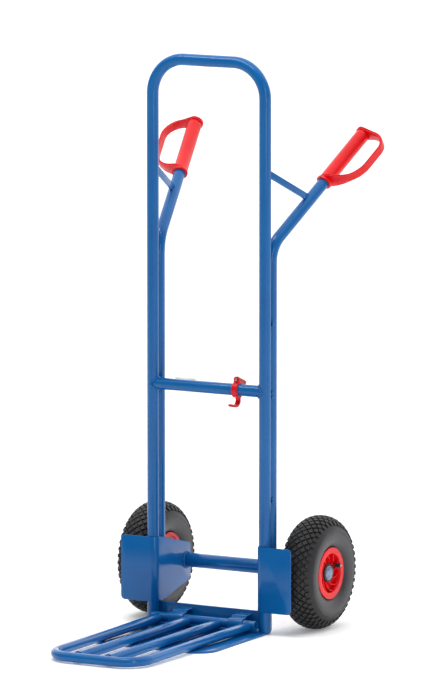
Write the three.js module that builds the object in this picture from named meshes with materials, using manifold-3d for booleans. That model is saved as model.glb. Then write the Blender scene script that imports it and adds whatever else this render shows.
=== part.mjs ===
// Two-wheeled hand truck: a bent tube frame on a fixed toe plate, a folding tube toe in front of it,
// two air-tyred wheels on a fixed axle, two handles with knuckle guards, and a hook for the folded toe.
// Millimetres, +Z up, +X to the right as seen from the front, +Y to the back, the toe towards -Y.
// The origin is on the floor, in the middle of the width, under the axes of the two uprights.
import * as THREE from 'three';
import { mergeVertices } from 'three/addons/utils/BufferGeometryUtils.js';
import Module from 'manifold-3d';

const wasm = await Module();
wasm.setup();

// Overall sizes
const frameHeight = 1300;
const uprightSpacing = 289.2;
const crossbarHeight = 550;
const wheelDiameter = 257;

// Clearances
const gap = 0.3;                // between pieces that touch
const toeSideClearance = 2;     // folding toe to the side plates that it folds between
const tyreSideClearance = 10;   // tyre to the upright
const tyreGuardClearance = 11.7; // tyre to the back of the wheel guard
const hingeClearance = 0.4;     // hinge tube in its straps
const hookClearance = 0.5;      // catch hook on the crossbar
const hubClearance = 0.4;       // parts on the axle

// Frame tubes
const tubeDiameter = 26.9;
const tubeWall = 2;
const hoopBendRadius = 80;
const handleRun = new THREE.Vector3(0.196, 0.773, 0.603); // direction of the right handle, outward and back
const handleDrop = 426;         // top of the frame down to the corner of the handle's bend
const handleBendRadius = 70;
const handleLength = 376;       // from the corner of the bend to the end of the tube
const handleFootHeight = 70;
const strutWidth = 15;
const strutThickness = 6;
const strutDrop = 254;          // top of the frame down to the strut
const strutReach = 160;         // along the handle from the corner of its bend

// Grips, measured along the handle and outward from its axis
const gripStart = 214;
const gripLength = 171;
const gripWall = 2.45;
const gripGuardReach = 70;
const gripGuardThickness = 5;
const gripGuardWidth = 20;
const gripEndWidth = 38;
const gripTopRadius = 28;
const gripBottomRise = 84;      // height of the sweep at the lower end of the knuckle guard
const gripCapThickness = 5;

// Wheel guards, one bent sheet each
const guardThickness = 2.5;
const guardBottom = 51.5;
const guardHeight = 149;
const guardReach = 75.4;        // outward from the axis of the upright
const guardCornerRadius = 10;
const guardRearOverhang = 14.5; // past the axle axis
const guardRearAbove = 38.5;     // above the axle axis
const guardRearBelow = 44.5;

// Toe plate
const plateWidth = 320;
const plateDepth = 290;         // in front of the upright axes
const plateThickness = 5;
const plateBendRadius = 12;
const plateFlangeTop = 49.2;
const plateCornerRadius = 50;

// Folding toe
const toeTubeDiameter = 22;
const toeTubeWall = 2;
const toeCornerRadius = 57;
const toeFrontHeight = 13.5;    // axis of the front bar above the floor
const toeBarClearance = 4.55;   // front bar under the crossbar, if the toe stood upright
const hingeTubeDiameter = 21;
const hingeTubeWall = 2.5;
const hingeHeight = 21.5;
const hingeUprightClearance = 3.16;
const hingeEndOverhang = 7.7;   // past the side of the outer legs
const strapWidth = 37;
const strapThickness = 2.8;
const strapSideClearance = 0.45; // both straps sit against the bar to their right
const strapStep = 5;            // rise of the strap behind the hinge tube

// Axle and wheels
const axleDiameter = 20;
const axleTubeDiameter = 33;
const axleTubeWall = 2.5;
const bushLength = 20;
const spacerDiameter = 27;
const washerThickness = 2.5;
const washerDiameter = 38;
const tyreWidth = 85;
const tyreWall = 6;
const innerTubeWall = 2;
const rimFlangeDiameter = 117.2;
const rimSeatDiameter = 108;
const rimWidth = 69.4;
const rimFlangeThickness = 3;
const rimPocketDiameter = 88.8;
const rimPocketDepth = 14.7;
const rimWebThickness = 5;
const rimBarrelWall = 4;
const hubDiameter = 44;
const hubInner = 30;            // from the middle of the wheel to the inner end of the hub
const hubOuter = 24.5;
const bearingDiameter = 32;
const bearingLength = 16;
const capRingDiameter = 42;
const capRingThickness = 3;
const capDiameter = 36.5;
const capHeight = 4.6;
const capWall = 1.6;
const valveRadius = 33;         // from the wheel axis
const valveAngle = 0.43;        // radians above the rear
const valveDiameter = 6.5;
const valveLength = 30;
const valveCapDiameter = 9.3;
const valveCapLength = 14;

// Catch hook
const hookPosition = 74;
const hookWidth = 15.8;
const hookThickness = 4.8;
const hookTailWidth = 11.5;
const hookTailThickness = 4.4;
// Middle line of the hook's tail, from the ring down and forward: behind the crossbar axis, above the ring's foot
const hookTailLine = [[1.5, 4.2], [3.6, -3.5], [2, -10.5], [-5, -16], [-14, -16.9], [-24, -14.7], [-36, -11]];
const hookTailSteps = 16;
const hookEarRise = 4.55;       // from the top of the ring to the rivet
const hookEarRadius = 6.6;
const hookEarForward = 6;
const hookEarBack = 1.5;
const hookTabReach = 33;
const hookTabDrop = 14;
const hookTabThickness = 3;
const rivetDiameter = 4;
const rivetHeadDiameter = 7;
const rivetHeadHeight = 1.6;

// Rating plate
const ratingWidth = 54;
const ratingHeight = 36;
const ratingThickness = 1;
const ratingPosition = -68;

// Facets of round pieces
const tubeSides = 12;
const roundSides = 24;
const wheelSides = 32;
const bendSteps = 6;

// Worked out from the sizes above
const tubeRadius = tubeDiameter / 2;
const uprightX = uprightSpacing / 2;
const wheelRadius = wheelDiameter / 2;
const guardInnerRadius = tubeRadius + gap;
const guardOuterRadius = guardInnerRadius + guardThickness;
const sidePlateInner = uprightX - guardOuterRadius;
const sidePlateOuter = uprightX - guardInnerRadius;
const axleY = wheelRadius - guardInnerRadius + tyreGuardClearance;
const axleZ = wheelRadius;
const wheelX = uprightX + tubeRadius + tyreSideClearance + tyreWidth / 2;
const toeRadius = toeTubeDiameter / 2;
const toeLegX = sidePlateInner - toeSideClearance - toeRadius;
const toeBarX = toeLegX / 3;
const hookBore = tubeRadius + hookClearance;
const hookOuter = hookBore + hookThickness;
const toeBarDrop = tubeRadius + toeBarClearance + toeRadius;
const hookEarHeight = hookOuter + hookEarRise;
const hingeRadius = hingeTubeDiameter / 2;
const hingeEnd = toeLegX + toeRadius + hingeEndOverhang;
const uprightFront = Math.sqrt(tubeRadius ** 2 - (uprightX - hingeEnd) ** 2);
const hingeForward = uprightFront + hingeRadius + hingeUprightClearance;
const toeLength = crossbarHeight - toeBarDrop - hingeHeight;
const toeFrontY = -hingeForward - toeLength;
const toeSlope = (plateThickness + gap + toeRadius - toeFrontHeight) / (-plateDepth - toeFrontY);
const handleY = tubeDiameter + gap;
const handleDirection = handleRun.clone().normalize();
const handleCorner = new THREE.Vector3(uprightX, handleY, frameHeight - handleDrop);
const strutTopHeight = frameHeight - strutDrop;
const gripRadius = tubeRadius + gap + gripWall;
const axleBore = axleDiameter / 2 + hubClearance;
const hubEnd = wheelX + hubOuter;
const xAxis = new THREE.Vector3(1, 0, 0);

// Materials
const paint = (roughness) => new THREE.MeshStandardMaterial({ color: 0x2f6aa8, roughness, metalness: 0 });
const blueTube = paint(0.3);
const bluePlate = paint(0.35);
const redPlastic = new THREE.MeshStandardMaterial({ color: 0xe5202e, roughness: 0.4, metalness: 0 });
const redRim = new THREE.MeshStandardMaterial({ color: 0xec2a36, roughness: 0.35, metalness: 0 });
const tyreRubber = new THREE.MeshStandardMaterial({ color: 0x3a3a3d, roughness: 0.8, metalness: 0 });
const blackRubber = new THREE.MeshStandardMaterial({ color: 0x17181a, roughness: 0.6, metalness: 0 });
const zincSteel = new THREE.MeshStandardMaterial({ color: 0xb9bcc0, roughness: 0.35, metalness: 1 });
const bearingSteel = new THREE.MeshStandardMaterial({ color: 0x8f9296, roughness: 0.3, metalness: 1 });
const paleLabel = new THREE.MeshStandardMaterial({ color: 0xc9ced4, roughness: 0.5, metalness: 0 });

// A centre line of straight runs joined by arcs, with stations only where it starts, bends and ends
class BentLine extends THREE.Curve {
  constructor(corners, radius, arcSteps = bendSteps) {
    super();
    this.stations = [];
    const last = corners.length - 1;
    const runs = corners.slice(1).map((corner, i) => corner.clone().sub(corners[i]).normalize());
    this.stations.push({ point: corners[0], tangent: runs[0] });
    for (let i = 1; i < last; i++) this.addBend(corners[i], runs[i - 1], runs[i], radius, arcSteps);
    this.stations.push({ point: corners[last], tangent: runs[last - 1] });
    this.steps = this.stations.length - 1;
  }

  addBend(corner, before, after, radius, arcSteps) {
    const turn = before.angleTo(after);
    const start = corner.clone().addScaledVector(before, -radius * Math.tan(turn / 2));
    const hinge = new THREE.Vector3().crossVectors(before, after).normalize();
    const inward = new THREE.Vector3().crossVectors(hinge, before);
    const centre = start.clone().addScaledVector(inward, radius);
    for (let k = 0; k <= arcSteps; k++) {
      const angle = turn * k / arcSteps;
      const point = start.clone().sub(centre).applyAxisAngle(hinge, angle).add(centre);
      this.stations.push({ point, tangent: before.clone().applyAxisAngle(hinge, angle) });
    }
  }

  getPointAt(u, target = new THREE.Vector3()) {
    return target.copy(this.stations[Math.round(u * this.steps)].point);
  }

  getTangentAt(u, target = new THREE.Vector3()) {
    return target.copy(this.stations[Math.round(u * this.steps)].tangent);
  }
}

const v = (x, y, z) => new THREE.Vector3(x, y, z);

function ring(radius, sides) {
  const points = [];
  for (let i = 0; i < sides; i++) {
    const angle = 2 * Math.PI * (i + 0.5) / sides;
    points.push(new THREE.Vector2(radius * Math.cos(angle), radius * Math.sin(angle)));
  }
  return points;
}

function tubeAlong(line, diameter, wall, sides = tubeSides) {
  const section = new THREE.Shape(ring(diameter / 2, sides));
  section.holes.push(new THREE.Path(ring(diameter / 2 - wall, sides)));
  return new THREE.ExtrudeGeometry(section, { extrudePath: line, steps: line.steps });
}

function straightTube(start, end, diameter, wall, sides = tubeSides) {
  return tubeAlong(new BentLine([start, end], 0), diameter, wall, sides);
}

function rod(start, end, radius, sides = roundSides) {
  const axis = end.clone().sub(start);
  const geometry = new THREE.CylinderGeometry(radius, radius, axis.length(), sides);
  geometry.applyQuaternion(new THREE.Quaternion().setFromUnitVectors(v(0, 1, 0), axis.clone().normalize()));
  return geometry.translate(...start.clone().add(end).multiplyScalar(0.5).toArray());
}

// A rod that cuts another piece where it crosses a tube's axis
function rodThrough(point, direction, radius) {
  const reach = 3 * tubeDiameter;
  return rod(point.clone().addScaledVector(direction, -reach), point.clone().addScaledVector(direction, reach), radius);
}

// A profile of [x, radius] points, closed or ending on the axis, turned about the X axis and moved to a centre
function turned(profile, centre, sides = wheelSides) {
  const points = profile.map(([x, radius]) => new THREE.Vector2(radius, x));
  if (THREE.ShapeUtils.area(points) < 0) points.reverse();
  if (points[0].x > 0) points.push(points[0].clone());
  const geometry = new THREE.LatheGeometry(points, sides);
  geometry.rotateZ(-Math.PI / 2);
  return geometry.translate(...centre);
}

// A flat outline extruded from one level to another: in the XY plane along Z, YZ along X, or XZ along Y
function prism(outline, from, to, plane = 'xy') {
  const options = { depth: to - from, bevelEnabled: false, curveSegments: 8 };
  const geometry = new THREE.ExtrudeGeometry(outline, options);
  geometry.translate(0, 0, from);
  const axes = {
    xy: [v(1, 0, 0), v(0, 1, 0), v(0, 0, 1)],
    yz: [v(0, 1, 0), v(0, 0, 1), v(1, 0, 0)],
    xz: [v(1, 0, 0), v(0, 0, 1), v(0, -1, 0)],
  }[plane];
  return geometry.applyMatrix4(new THREE.Matrix4().makeBasis(...axes));
}

function polygon(...points) {
  return new THREE.Shape(points.map(([a, b]) => new THREE.Vector2(a, b)));
}

function toSolid(geometry) {
  const plain = geometry.clone();
  plain.deleteAttribute('normal');
  plain.deleteAttribute('uv');
  const merged = mergeVertices(plain, 1e-4);
  const vertProperties = new Float32Array(merged.attributes.position.array);
  const triVerts = new Uint32Array(merged.index.array);
  return new wasm.Manifold(new wasm.Mesh({ numProp: 3, vertProperties, triVerts }));
}

function toGeometry(solid) {
  const mesh = solid.getMesh();
  const geometry = new THREE.BufferGeometry();
  geometry.setAttribute('position', new THREE.BufferAttribute(new Float32Array(mesh.vertProperties), 3));
  geometry.setIndex(new THREE.BufferAttribute(new Uint32Array(mesh.triVerts), 1));
  return geometry;
}

function cut(geometry, ...tools) {
  return toGeometry(tools.reduce((solid, tool) => solid.subtract(toSolid(tool)), toSolid(geometry)));
}

function join(geometry, ...others) {
  return toGeometry(others.reduce((solid, other) => solid.add(toSolid(other)), toSolid(geometry)));
}

function common(geometry, ...others) {
  return toGeometry(others.reduce((solid, other) => solid.intersect(toSolid(other)), toSolid(geometry)));
}

function mirrored(geometry) {
  const copy = toGeometry(toSolid(geometry));
  copy.applyMatrix4(new THREE.Matrix4().makeScale(-1, 1, 1));
  const index = copy.index.array;
  for (let i = 0; i < index.length; i += 3) [index[i], index[i + 1]] = [index[i + 1], index[i]];
  return copy;
}

// Frame

function mainHoop() {
  const foot = plateThickness + gap;
  const top = frameHeight - tubeRadius;
  const corners = [v(-uprightX, 0, foot), v(-uprightX, 0, top), v(uprightX, 0, top), v(uprightX, 0, foot)];
  return cut(tubeAlong(new BentLine(corners, hoopBendRadius), tubeDiameter, tubeWall), footCope());
}

// What the inside of the toe plate's bend takes away from the feet of the uprights
function footCope() {
  const bendY = tubeRadius + gap + plateThickness - plateBendRadius;
  const inside = plateBendRadius - plateThickness - gap;
  const corner = new THREE.Shape();
  corner.moveTo(bendY, plateBendRadius - inside);
  corner.absarc(bendY, plateBendRadius, inside, -Math.PI / 2, 0, false);
  corner.lineTo(2 * tubeDiameter, plateBendRadius);
  corner.lineTo(2 * tubeDiameter, 0);
  corner.lineTo(bendY, 0);
  return prism(corner, -2 * uprightX, 2 * uprightX, 'yz');
}

function crossbar() {
  const end = v(uprightX, 0, crossbarHeight);
  const bar = straightTube(end.clone().setX(-uprightX), end, tubeDiameter, tubeWall);
  const cope = (x) => rodThrough(v(x, 0, crossbarHeight), v(0, 0, 1), tubeRadius + gap);
  return cut(bar, cope(-uprightX), cope(uprightX));
}

function ratingPlate() {
  const halfHeight = ratingHeight / 2;
  const outline = polygon([ratingPosition - ratingWidth / 2, crossbarHeight - halfHeight],
    [ratingPosition + ratingWidth / 2, crossbarHeight - halfHeight],
    [ratingPosition + ratingWidth / 2, crossbarHeight + halfHeight],
    [ratingPosition - ratingWidth / 2, crossbarHeight + halfHeight]);
  const back = tubeRadius + gap + ratingThickness;
  return prism(outline, -back, -back + ratingThickness, 'xz');
}

function handleTube() {
  const end = handleCorner.clone().addScaledVector(handleDirection, handleLength);
  const corners = [v(uprightX, handleY, handleFootHeight), handleCorner, end];
  return tubeAlong(new BentLine(corners, handleBendRadius), tubeDiameter, tubeWall);
}

function strut() {
  const top = v(uprightX, 0, strutTopHeight);
  const bottom = handleCorner.clone().addScaledVector(handleDirection, strutReach);
  const run = bottom.clone().sub(top);
  const along = run.clone().normalize();
  const across = new THREE.Vector3().crossVectors(along, xAxis).normalize();
  const side = new THREE.Vector3().crossVectors(along, across);
  const bar = new THREE.BoxGeometry(run.length(), strutWidth, strutThickness);
  bar.applyMatrix4(new THREE.Matrix4().makeBasis(along, across, side));
  bar.translate(...top.clone().add(bottom).multiplyScalar(0.5).toArray());
  const upright = rodThrough(top, v(0, 0, 1), tubeRadius + gap);
  const handle = rodThrough(bottom, handleDirection, tubeRadius + gap);
  return cut(bar, upright, handle);
}

// Grips: local X outward, local Y across the knuckle guard, local Z up the handle
function gripFrame() {
  const outward = xAxis.clone().addScaledVector(handleDirection, -xAxis.dot(handleDirection)).normalize();
  const across = new THREE.Vector3().crossVectors(handleDirection, outward);
  const start = handleCorner.clone().addScaledVector(handleDirection, gripStart);
  return new THREE.Matrix4().makeBasis(outward, across, handleDirection).setPosition(start);
}

function knuckleOutline(inset) {
  const reach = gripGuardReach - inset;
  const top = gripLength - inset;
  const corner = gripTopRadius - inset;
  const outline = new THREE.Shape();
  outline.moveTo(0, inset);
  outline.absellipse(0, gripBottomRise, reach, gripBottomRise - inset, -Math.PI / 2, 0, false);
  outline.lineTo(reach, top - corner);
  outline.absarc(reach - corner, top - corner, corner, 0, Math.PI / 2, false);
  outline.lineTo(0, top);
  return outline;
}

function grip() {
  const halfEnd = gripEndWidth / 2;
  const halfBand = gripGuardWidth / 2;
  const loop = prism(knuckleOutline(0), -halfEnd, halfEnd, 'xz');
  const opening = prism(knuckleOutline(gripGuardThickness), -gripEndWidth, gripEndWidth, 'xz');
  const taper = prism(polygon([0, -halfEnd], [gripRadius, -halfEnd], [gripGuardReach * 0.7, -halfBand],
    [gripGuardReach, -halfBand], [gripGuardReach, halfBand], [gripGuardReach * 0.7, halfBand],
    [gripRadius, halfEnd], [0, halfEnd]), 0, gripLength);
  const guard = common(cut(loop, opening), taper);
  const sleeve = rod(v(0, 0, 0), v(0, 0, gripLength), gripRadius, roundSides);
  const bore = rod(v(0, 0, -gap), v(0, 0, gripLength - gripCapThickness), tubeRadius + gap, roundSides);
  return cut(join(guard, sleeve), bore).applyMatrix4(gripFrame());
}

// Wheel guard: front panel, bend round the upright and side plate back to the axle
function guardSection() {
  const section = new THREE.Shape();
  const rear = axleY + guardRearOverhang;
  section.moveTo(uprightX + guardReach, -guardInnerRadius);
  section.lineTo(uprightX + guardReach, -guardOuterRadius);
  section.lineTo(uprightX, -guardOuterRadius);
  section.absarc(uprightX, 0, guardOuterRadius, -Math.PI / 2, -Math.PI, true);
  section.lineTo(sidePlateInner, rear);
  section.lineTo(sidePlateOuter, rear);
  section.lineTo(sidePlateOuter, 0);
  section.absarc(uprightX, 0, guardInnerRadius, -Math.PI, -Math.PI / 2, false);
  return section;
}

function roundedPolygon(points, radii) {
  const shape = new THREE.Shape();
  points.forEach(([x, y], i) => {
    const corner = new THREE.Vector2(x, y);
    const before = new THREE.Vector2(...points.at(i - 1)).sub(corner).normalize();
    const after = new THREE.Vector2(...points[(i + 1) % points.length]).sub(corner).normalize();
    const setback = radii[i] / Math.tan(Math.acos(before.dot(after)) / 2);
    const start = corner.clone().addScaledVector(before, setback);
    const end = corner.clone().addScaledVector(after, setback);
    if (i === 0) shape.moveTo(start.x, start.y);
    else shape.lineTo(start.x, start.y);
    if (setback > 0) shape.quadraticCurveTo(x, y, end.x, end.y);
  });
  return shape;
}

function wheelGuard() {
  const top = guardBottom + guardHeight;
  const rear = axleY + guardRearOverhang;
  const front = -2 * guardOuterRadius;
  const r = guardCornerRadius;
  const sheet = prism(guardSection(), guardBottom, top);
  const side = prism(roundedPolygon(
    [[front, guardBottom], [guardInnerRadius, guardBottom], [rear, axleZ - guardRearBelow],
      [rear, axleZ + guardRearAbove], [0, top], [front, top]], [0, 0, r, r, 0, 0]), 0, uprightX + 2 * guardReach, 'yz');
  const panel = prism(roundedPolygon(
    [[0, guardBottom], [uprightX + guardReach, guardBottom], [uprightX + guardReach, top], [0, top]],
    [0, r, r, 0]), -2 * rear, 2 * rear, 'xz');
  const axleHole = rod(v(0, axleY, axleZ), v(uprightX, axleY, axleZ), axleBore);
  return cut(common(sheet, side, panel), axleHole);
}

function toePlate() {
  const flangeFront = tubeRadius + gap;
  const flangeBack = flangeFront + plateThickness;
  const bendY = flangeBack - plateBendRadius;
  const section = new THREE.Shape();
  section.moveTo(-plateDepth, 0);
  section.lineTo(bendY, 0);
  section.absarc(bendY, plateBendRadius, plateBendRadius, -Math.PI / 2, 0, false);
  section.lineTo(flangeBack, plateFlangeTop);
  section.lineTo(flangeFront, plateFlangeTop);
  section.lineTo(flangeFront, plateBendRadius);
  section.absarc(bendY, plateBendRadius, plateBendRadius - plateThickness, 0, -Math.PI / 2, true);
  section.lineTo(-plateDepth, plateThickness);
  const half = plateWidth / 2;
  const sheet = prism(section, -half, half, 'yz');
  const cornerX = half - plateCornerRadius;
  const cornerY = plateCornerRadius - plateDepth;
  const plan = new THREE.Shape();
  plan.moveTo(half, 2 * flangeBack);
  plan.lineTo(-half, 2 * flangeBack);
  plan.lineTo(-half, cornerY);
  plan.absarc(-cornerX, cornerY, plateCornerRadius, Math.PI, 1.5 * Math.PI, false);
  plan.lineTo(cornerX, -plateDepth);
  plan.absarc(cornerX, cornerY, plateCornerRadius, 1.5 * Math.PI, 2 * Math.PI, false);
  return common(sheet, prism(plan, -plateThickness, 2 * plateFlangeTop));
}

// Hinge strap: from the flange over the hinge tube and down in front of it to the plate
function hingeStrap(side) {
  const inner = hingeRadius + hingeClearance;
  const outer = inner + strapThickness;
  const flangeFront = tubeRadius;
  const stepY = -hingeForward + hingeRadius;
  const section = new THREE.Shape();
  section.moveTo(flangeFront, hingeHeight + inner + strapStep);
  section.lineTo(flangeFront, hingeHeight + outer + strapStep);
  section.lineTo(stepY, hingeHeight + outer + strapStep);
  section.lineTo(stepY - strapStep / 2, hingeHeight + outer);
  section.lineTo(-hingeForward, hingeHeight + outer);
  section.absarc(-hingeForward, hingeHeight, outer, Math.PI / 2, Math.PI, false);
  section.lineTo(-hingeForward - outer, plateThickness + gap);
  section.lineTo(-hingeForward - inner, plateThickness + gap);
  section.lineTo(-hingeForward - inner, hingeHeight);
  section.absarc(-hingeForward, hingeHeight, inner, Math.PI, Math.PI / 2, true);
  section.lineTo(stepY + strapThickness - strapStep / 2, hingeHeight + inner);
  section.lineTo(stepY + strapThickness, hingeHeight + inner + strapStep);
  const rightBar = side > 0 ? toeLegX : -toeBarX;
  const right = rightBar - toeRadius - strapSideClearance;
  return prism(section, right - strapWidth, right, 'yz');
}

// Folding toe

const toeAxisHeight = (y) => toeFrontHeight + toeSlope * (y - toeFrontY);

function hingeCope() {
  const reach = v(uprightX, -hingeForward, hingeHeight);
  return rod(reach.clone().setX(-uprightX), reach, hingeRadius + gap);
}

function toeHoop() {
  const rearHeight = toeAxisHeight(-hingeForward);
  const corners = [v(-toeLegX, -hingeForward, rearHeight), v(-toeLegX, toeFrontY, toeFrontHeight),
    v(toeLegX, toeFrontY, toeFrontHeight), v(toeLegX, -hingeForward, rearHeight)];
  return cut(tubeAlong(new BentLine(corners, toeCornerRadius), toeTubeDiameter, toeTubeWall), hingeCope());
}

function toeBar(side) {
  const x = side * toeBarX;
  const bar = straightTube(v(x, -hingeForward, toeAxisHeight(-hingeForward)), v(x, toeFrontY, toeFrontHeight),
    toeTubeDiameter, toeTubeWall);
  const frontCope = rodThrough(v(x, toeFrontY, toeFrontHeight), xAxis, toeRadius + gap);
  return cut(bar, hingeCope(), frontCope);
}

function hingeTube() {
  return straightTube(v(-hingeEnd, -hingeForward, hingeHeight), v(hingeEnd, -hingeForward, hingeHeight),
    hingeTubeDiameter, hingeTubeWall);
}

// Catch hook: a strap closed round the crossbar by a rivet, with a hook below and a thumb tab behind

function hookBand(points, width = hookWidth) {
  return prism(polygon(...points), hookPosition - width / 2, hookPosition + width / 2, 'yz');
}

// The hook itself: a band that follows the tail line and ends in a round tip
function hookTail() {
  const line = new THREE.SplineCurve(hookTailLine.map(([y, z]) => new THREE.Vector2(y, z - hookOuter)));
  const half = hookTailThickness / 2;
  const side = (sign) => Array.from({ length: hookTailSteps + 1 }, (_, i) => {
    const point = line.getPoint(i / hookTailSteps);
    const tangent = line.getTangent(i / hookTailSteps);
    return [point.x - sign * half * tangent.y, point.y + sign * half * tangent.x];
  });
  const band = hookBand([...side(1), ...side(-1).reverse()], hookTailWidth);
  const tip = hookTailLine.at(-1)[0] - half / 2;
  const round = hookTailWidth / 2;
  const plan = new THREE.Shape();
  plan.moveTo(hookPosition + round, 2 * hookOuter);
  plan.lineTo(hookPosition - round, 2 * hookOuter);
  plan.absarc(hookPosition, tip + round, round, Math.PI, 2 * Math.PI, false);
  return common(band, prism(plan, -4 * hookOuter, 0));
}

// The upper part of the strap, which narrows to a round end above the crossbar
function hookEar() {
  const front = -hookEarForward;
  const back = hookEarBack;
  const plain = hookBand([[front, 0], [back, 0], [back, hookEarHeight], [front, hookEarHeight]]);
  const taper = 0.5 * hookWidth - hookEarRadius;
  const sides = [-1, 1].map((side) => prism(polygon(
    [hookPosition + side * (hookEarRadius + taper * 4), 0],
    [hookPosition + side * (hookEarRadius + taper), tubeRadius + hookThickness],
    [hookPosition + side * hookEarRadius, hookEarHeight],
    [hookPosition + side * hookEarRadius, hookEarHeight + 2 * hookEarRadius],
    [hookPosition + side * (hookEarRadius + taper * 4), hookEarHeight + 2 * hookEarRadius]),
  2 * front, -2 * front, 'xz'));
  const top = rod(v(hookPosition, front, hookEarHeight), v(hookPosition, back, hookEarHeight), hookEarRadius);
  return join(cut(plain, ...sides), top);
}

function hookTab() {
  const top = hookEarHeight + hookEarRadius;
  const end = top - hookTabDrop;
  return hookBand([[0, top], [hookTabReach, end], [hookTabReach, end - hookTabThickness],
    [0, top - hookTabThickness]], hookEarRadius);
}

function catchHook() {
  const start = v(hookPosition - hookWidth / 2, 0, 0);
  const end = v(hookPosition + hookWidth / 2, 0, 0);
  const strapRing = rod(start, end, hookOuter);
  const crossbarHole = rod(start.clone().setX(0), end.clone().setX(uprightX), hookBore);
  const rivetHole = rodThrough(v(hookPosition, 0, hookEarHeight), v(0, 1, 0), rivetDiameter / 2 + gap);
  const whole = join(strapRing, hookTail(), hookEar(), hookTab());
  return cut(whole, crossbarHole, rivetHole).translate(0, 0, crossbarHeight);
}

function hookRivet() {
  const front = -hookEarForward - gap;
  const back = hookEarBack + gap;
  const head = rivetHeadDiameter / 2;
  const shank = rivetDiameter / 2;
  const frontTop = front - rivetHeadHeight;
  const backTop = back + rivetHeadHeight / 2;
  const profile = [[frontTop, 0], [frontTop, head * 0.6], [(front + frontTop) / 2, head * 0.9], [front, head],
    [front, shank], [back, shank], [back, shank * 1.2], [backTop, shank * 1.1], [backTop, 0]];
  const rivet = turned(profile, [0, 0, 0], tubeSides);
  rivet.rotateZ(Math.PI / 2);
  return rivet.translate(hookPosition, 0, crossbarHeight + hookEarHeight);
}

// Axle

function axleTube() {
  const end = sidePlateInner - gap;
  return straightTube(v(-end, axleY, axleZ), v(end, axleY, axleZ), axleTubeDiameter, axleTubeWall, roundSides);
}

const axleCentre = [0, axleY, axleZ];

function sleeveOnAxle(from, to, outerRadius, innerRadius) {
  const profile = [[from, innerRadius], [to, innerRadius], [to, outerRadius], [from, outerRadius]];
  return turned(profile, axleCentre, roundSides);
}

function axleBush() {
  const end = sidePlateInner - gap;
  return sleeveOnAxle(end - bushLength, end, axleTubeDiameter / 2 - axleTubeWall - gap, axleBore);
}

const washerInner = wheelX - hubInner - gap - washerThickness;

function axleSpacer() {
  return sleeveOnAxle(sidePlateOuter + gap, washerInner - gap, spacerDiameter / 2, axleBore);
}

function axleWasher() {
  return sleeveOnAxle(washerInner, washerInner + washerThickness, washerDiameter / 2, axleBore);
}

function capRing() {
  return sleeveOnAxle(hubEnd + gap, hubEnd + gap + capRingThickness, capRingDiameter / 2, axleBore);
}

const capBase = hubEnd + 2 * gap + capRingThickness;
const axleEnd = capBase + capHeight - capWall - gap;

function axle() {
  return rod(v(-axleEnd, axleY, axleZ), v(axleEnd, axleY, axleZ), axleDiameter / 2, roundSides);
}

function axleCap() {
  const radius = capDiameter / 2;
  const top = capBase + capHeight;
  return turned([[axleEnd + gap, 0], [axleEnd + gap, axleBore], [capBase, axleBore], [capBase, radius],
    [capBase + capHeight * 0.45, radius], [capBase + capHeight * 0.8, radius * 0.9], [top, radius * 0.7],
    [top, 0]], axleCentre, roundSides);
}

// Wheel, drawn on its own middle plane and moved out along the axle

const wheelCentre = [wheelX, axleY, axleZ];

function tyre() {
  const half = tyreWidth / 2;
  const bead = rimSeatDiameter / 2 + gap;
  const beadOuter = rimWidth / 2 - rimFlangeThickness - gap;
  const height = wheelRadius - bead;
  const outer = [[0.92, 0.15], [1, 0.4], [0.97, 0.66], [0.8, 0.86], [0.45, 0.97]].map(
    ([across, up]) => [half * across, bead + up * height]);
  const lip = [beadOuter, rimFlangeDiameter / 2 + 1];
  const inner = outer.slice(0, -1).map(
    ([x, radius]) => [x - tyreWall, radius - tyreWall * (radius - bead) / height]);
  const right = [...outer].reverse();
  const mirror = ([x, radius]) => [-x, radius];
  const profile = [[0, wheelRadius], ...right, lip, [beadOuter, bead], [beadOuter - tyreWall, bead], ...inner,
    [0, wheelRadius - tyreWall - 1], ...[...inner].reverse().map(mirror), [tyreWall - beadOuter, bead],
    [-beadOuter, bead], mirror(lip), ...outer.map(mirror)];
  return turned(profile, wheelCentre);
}

function innerTube() {
  const half = tyreWidth / 2 - tyreWall - 2;
  const low = rimSeatDiameter / 2 + 2;
  const high = wheelRadius - tyreWall - 4;
  const middle = (low + high) / 2;
  const tall = (high - low) / 2;
  const shell = (inset) => turned(
    ring(1, 8).map(({ x, y }) => [(half * 0.9 - inset) * x, middle + (tall - inset) * y]), wheelCentre);
  const valveHole = rod(v(0, 0, -middle), v(0, 0, 0), valveDiameter / 2).translate(...wheelCentre);
  return cut(shell(0), shell(innerTubeWall), valveHole);
}

function rim() {
  const half = rimWidth / 2;
  const flange = rimFlangeDiameter / 2;
  const seat = rimSeatDiameter / 2;
  const barrel = seat - rimBarrelWall;
  const pocket = rimPocketDiameter / 2;
  const floor = half - rimPocketDepth;
  const web = floor - rimWebThickness;
  const hub = hubDiameter / 2;
  const bore = bearingDiameter / 2 + gap;
  const shoulder = bore - 2;
  const profile = [[half, flange], [half - rimFlangeThickness, flange], [half - rimFlangeThickness, seat],
    [rimFlangeThickness - half, seat], [rimFlangeThickness - half, flange], [-half, flange], [-half, barrel],
    [web, barrel], [web, hub], [-hubInner, hub], [-hubInner, bore], [-hubInner + bearingLength + gap, bore],
    [-hubInner + bearingLength + gap, shoulder], [hubOuter - bearingLength - gap, shoulder],
    [hubOuter - bearingLength - gap, bore], [hubOuter, bore], [hubOuter, hub], [floor, hub],
    [floor, pocket], [half, pocket]];
  const valveY = valveRadius * Math.cos(valveAngle);
  const valveZ = valveRadius * Math.sin(valveAngle);
  const hole = rod(v(-half, valveY, valveZ), v(half, valveY, valveZ), valveDiameter / 2 + gap);
  hole.translate(...wheelCentre);
  return cut(turned(profile, wheelCentre), hole);
}

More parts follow.
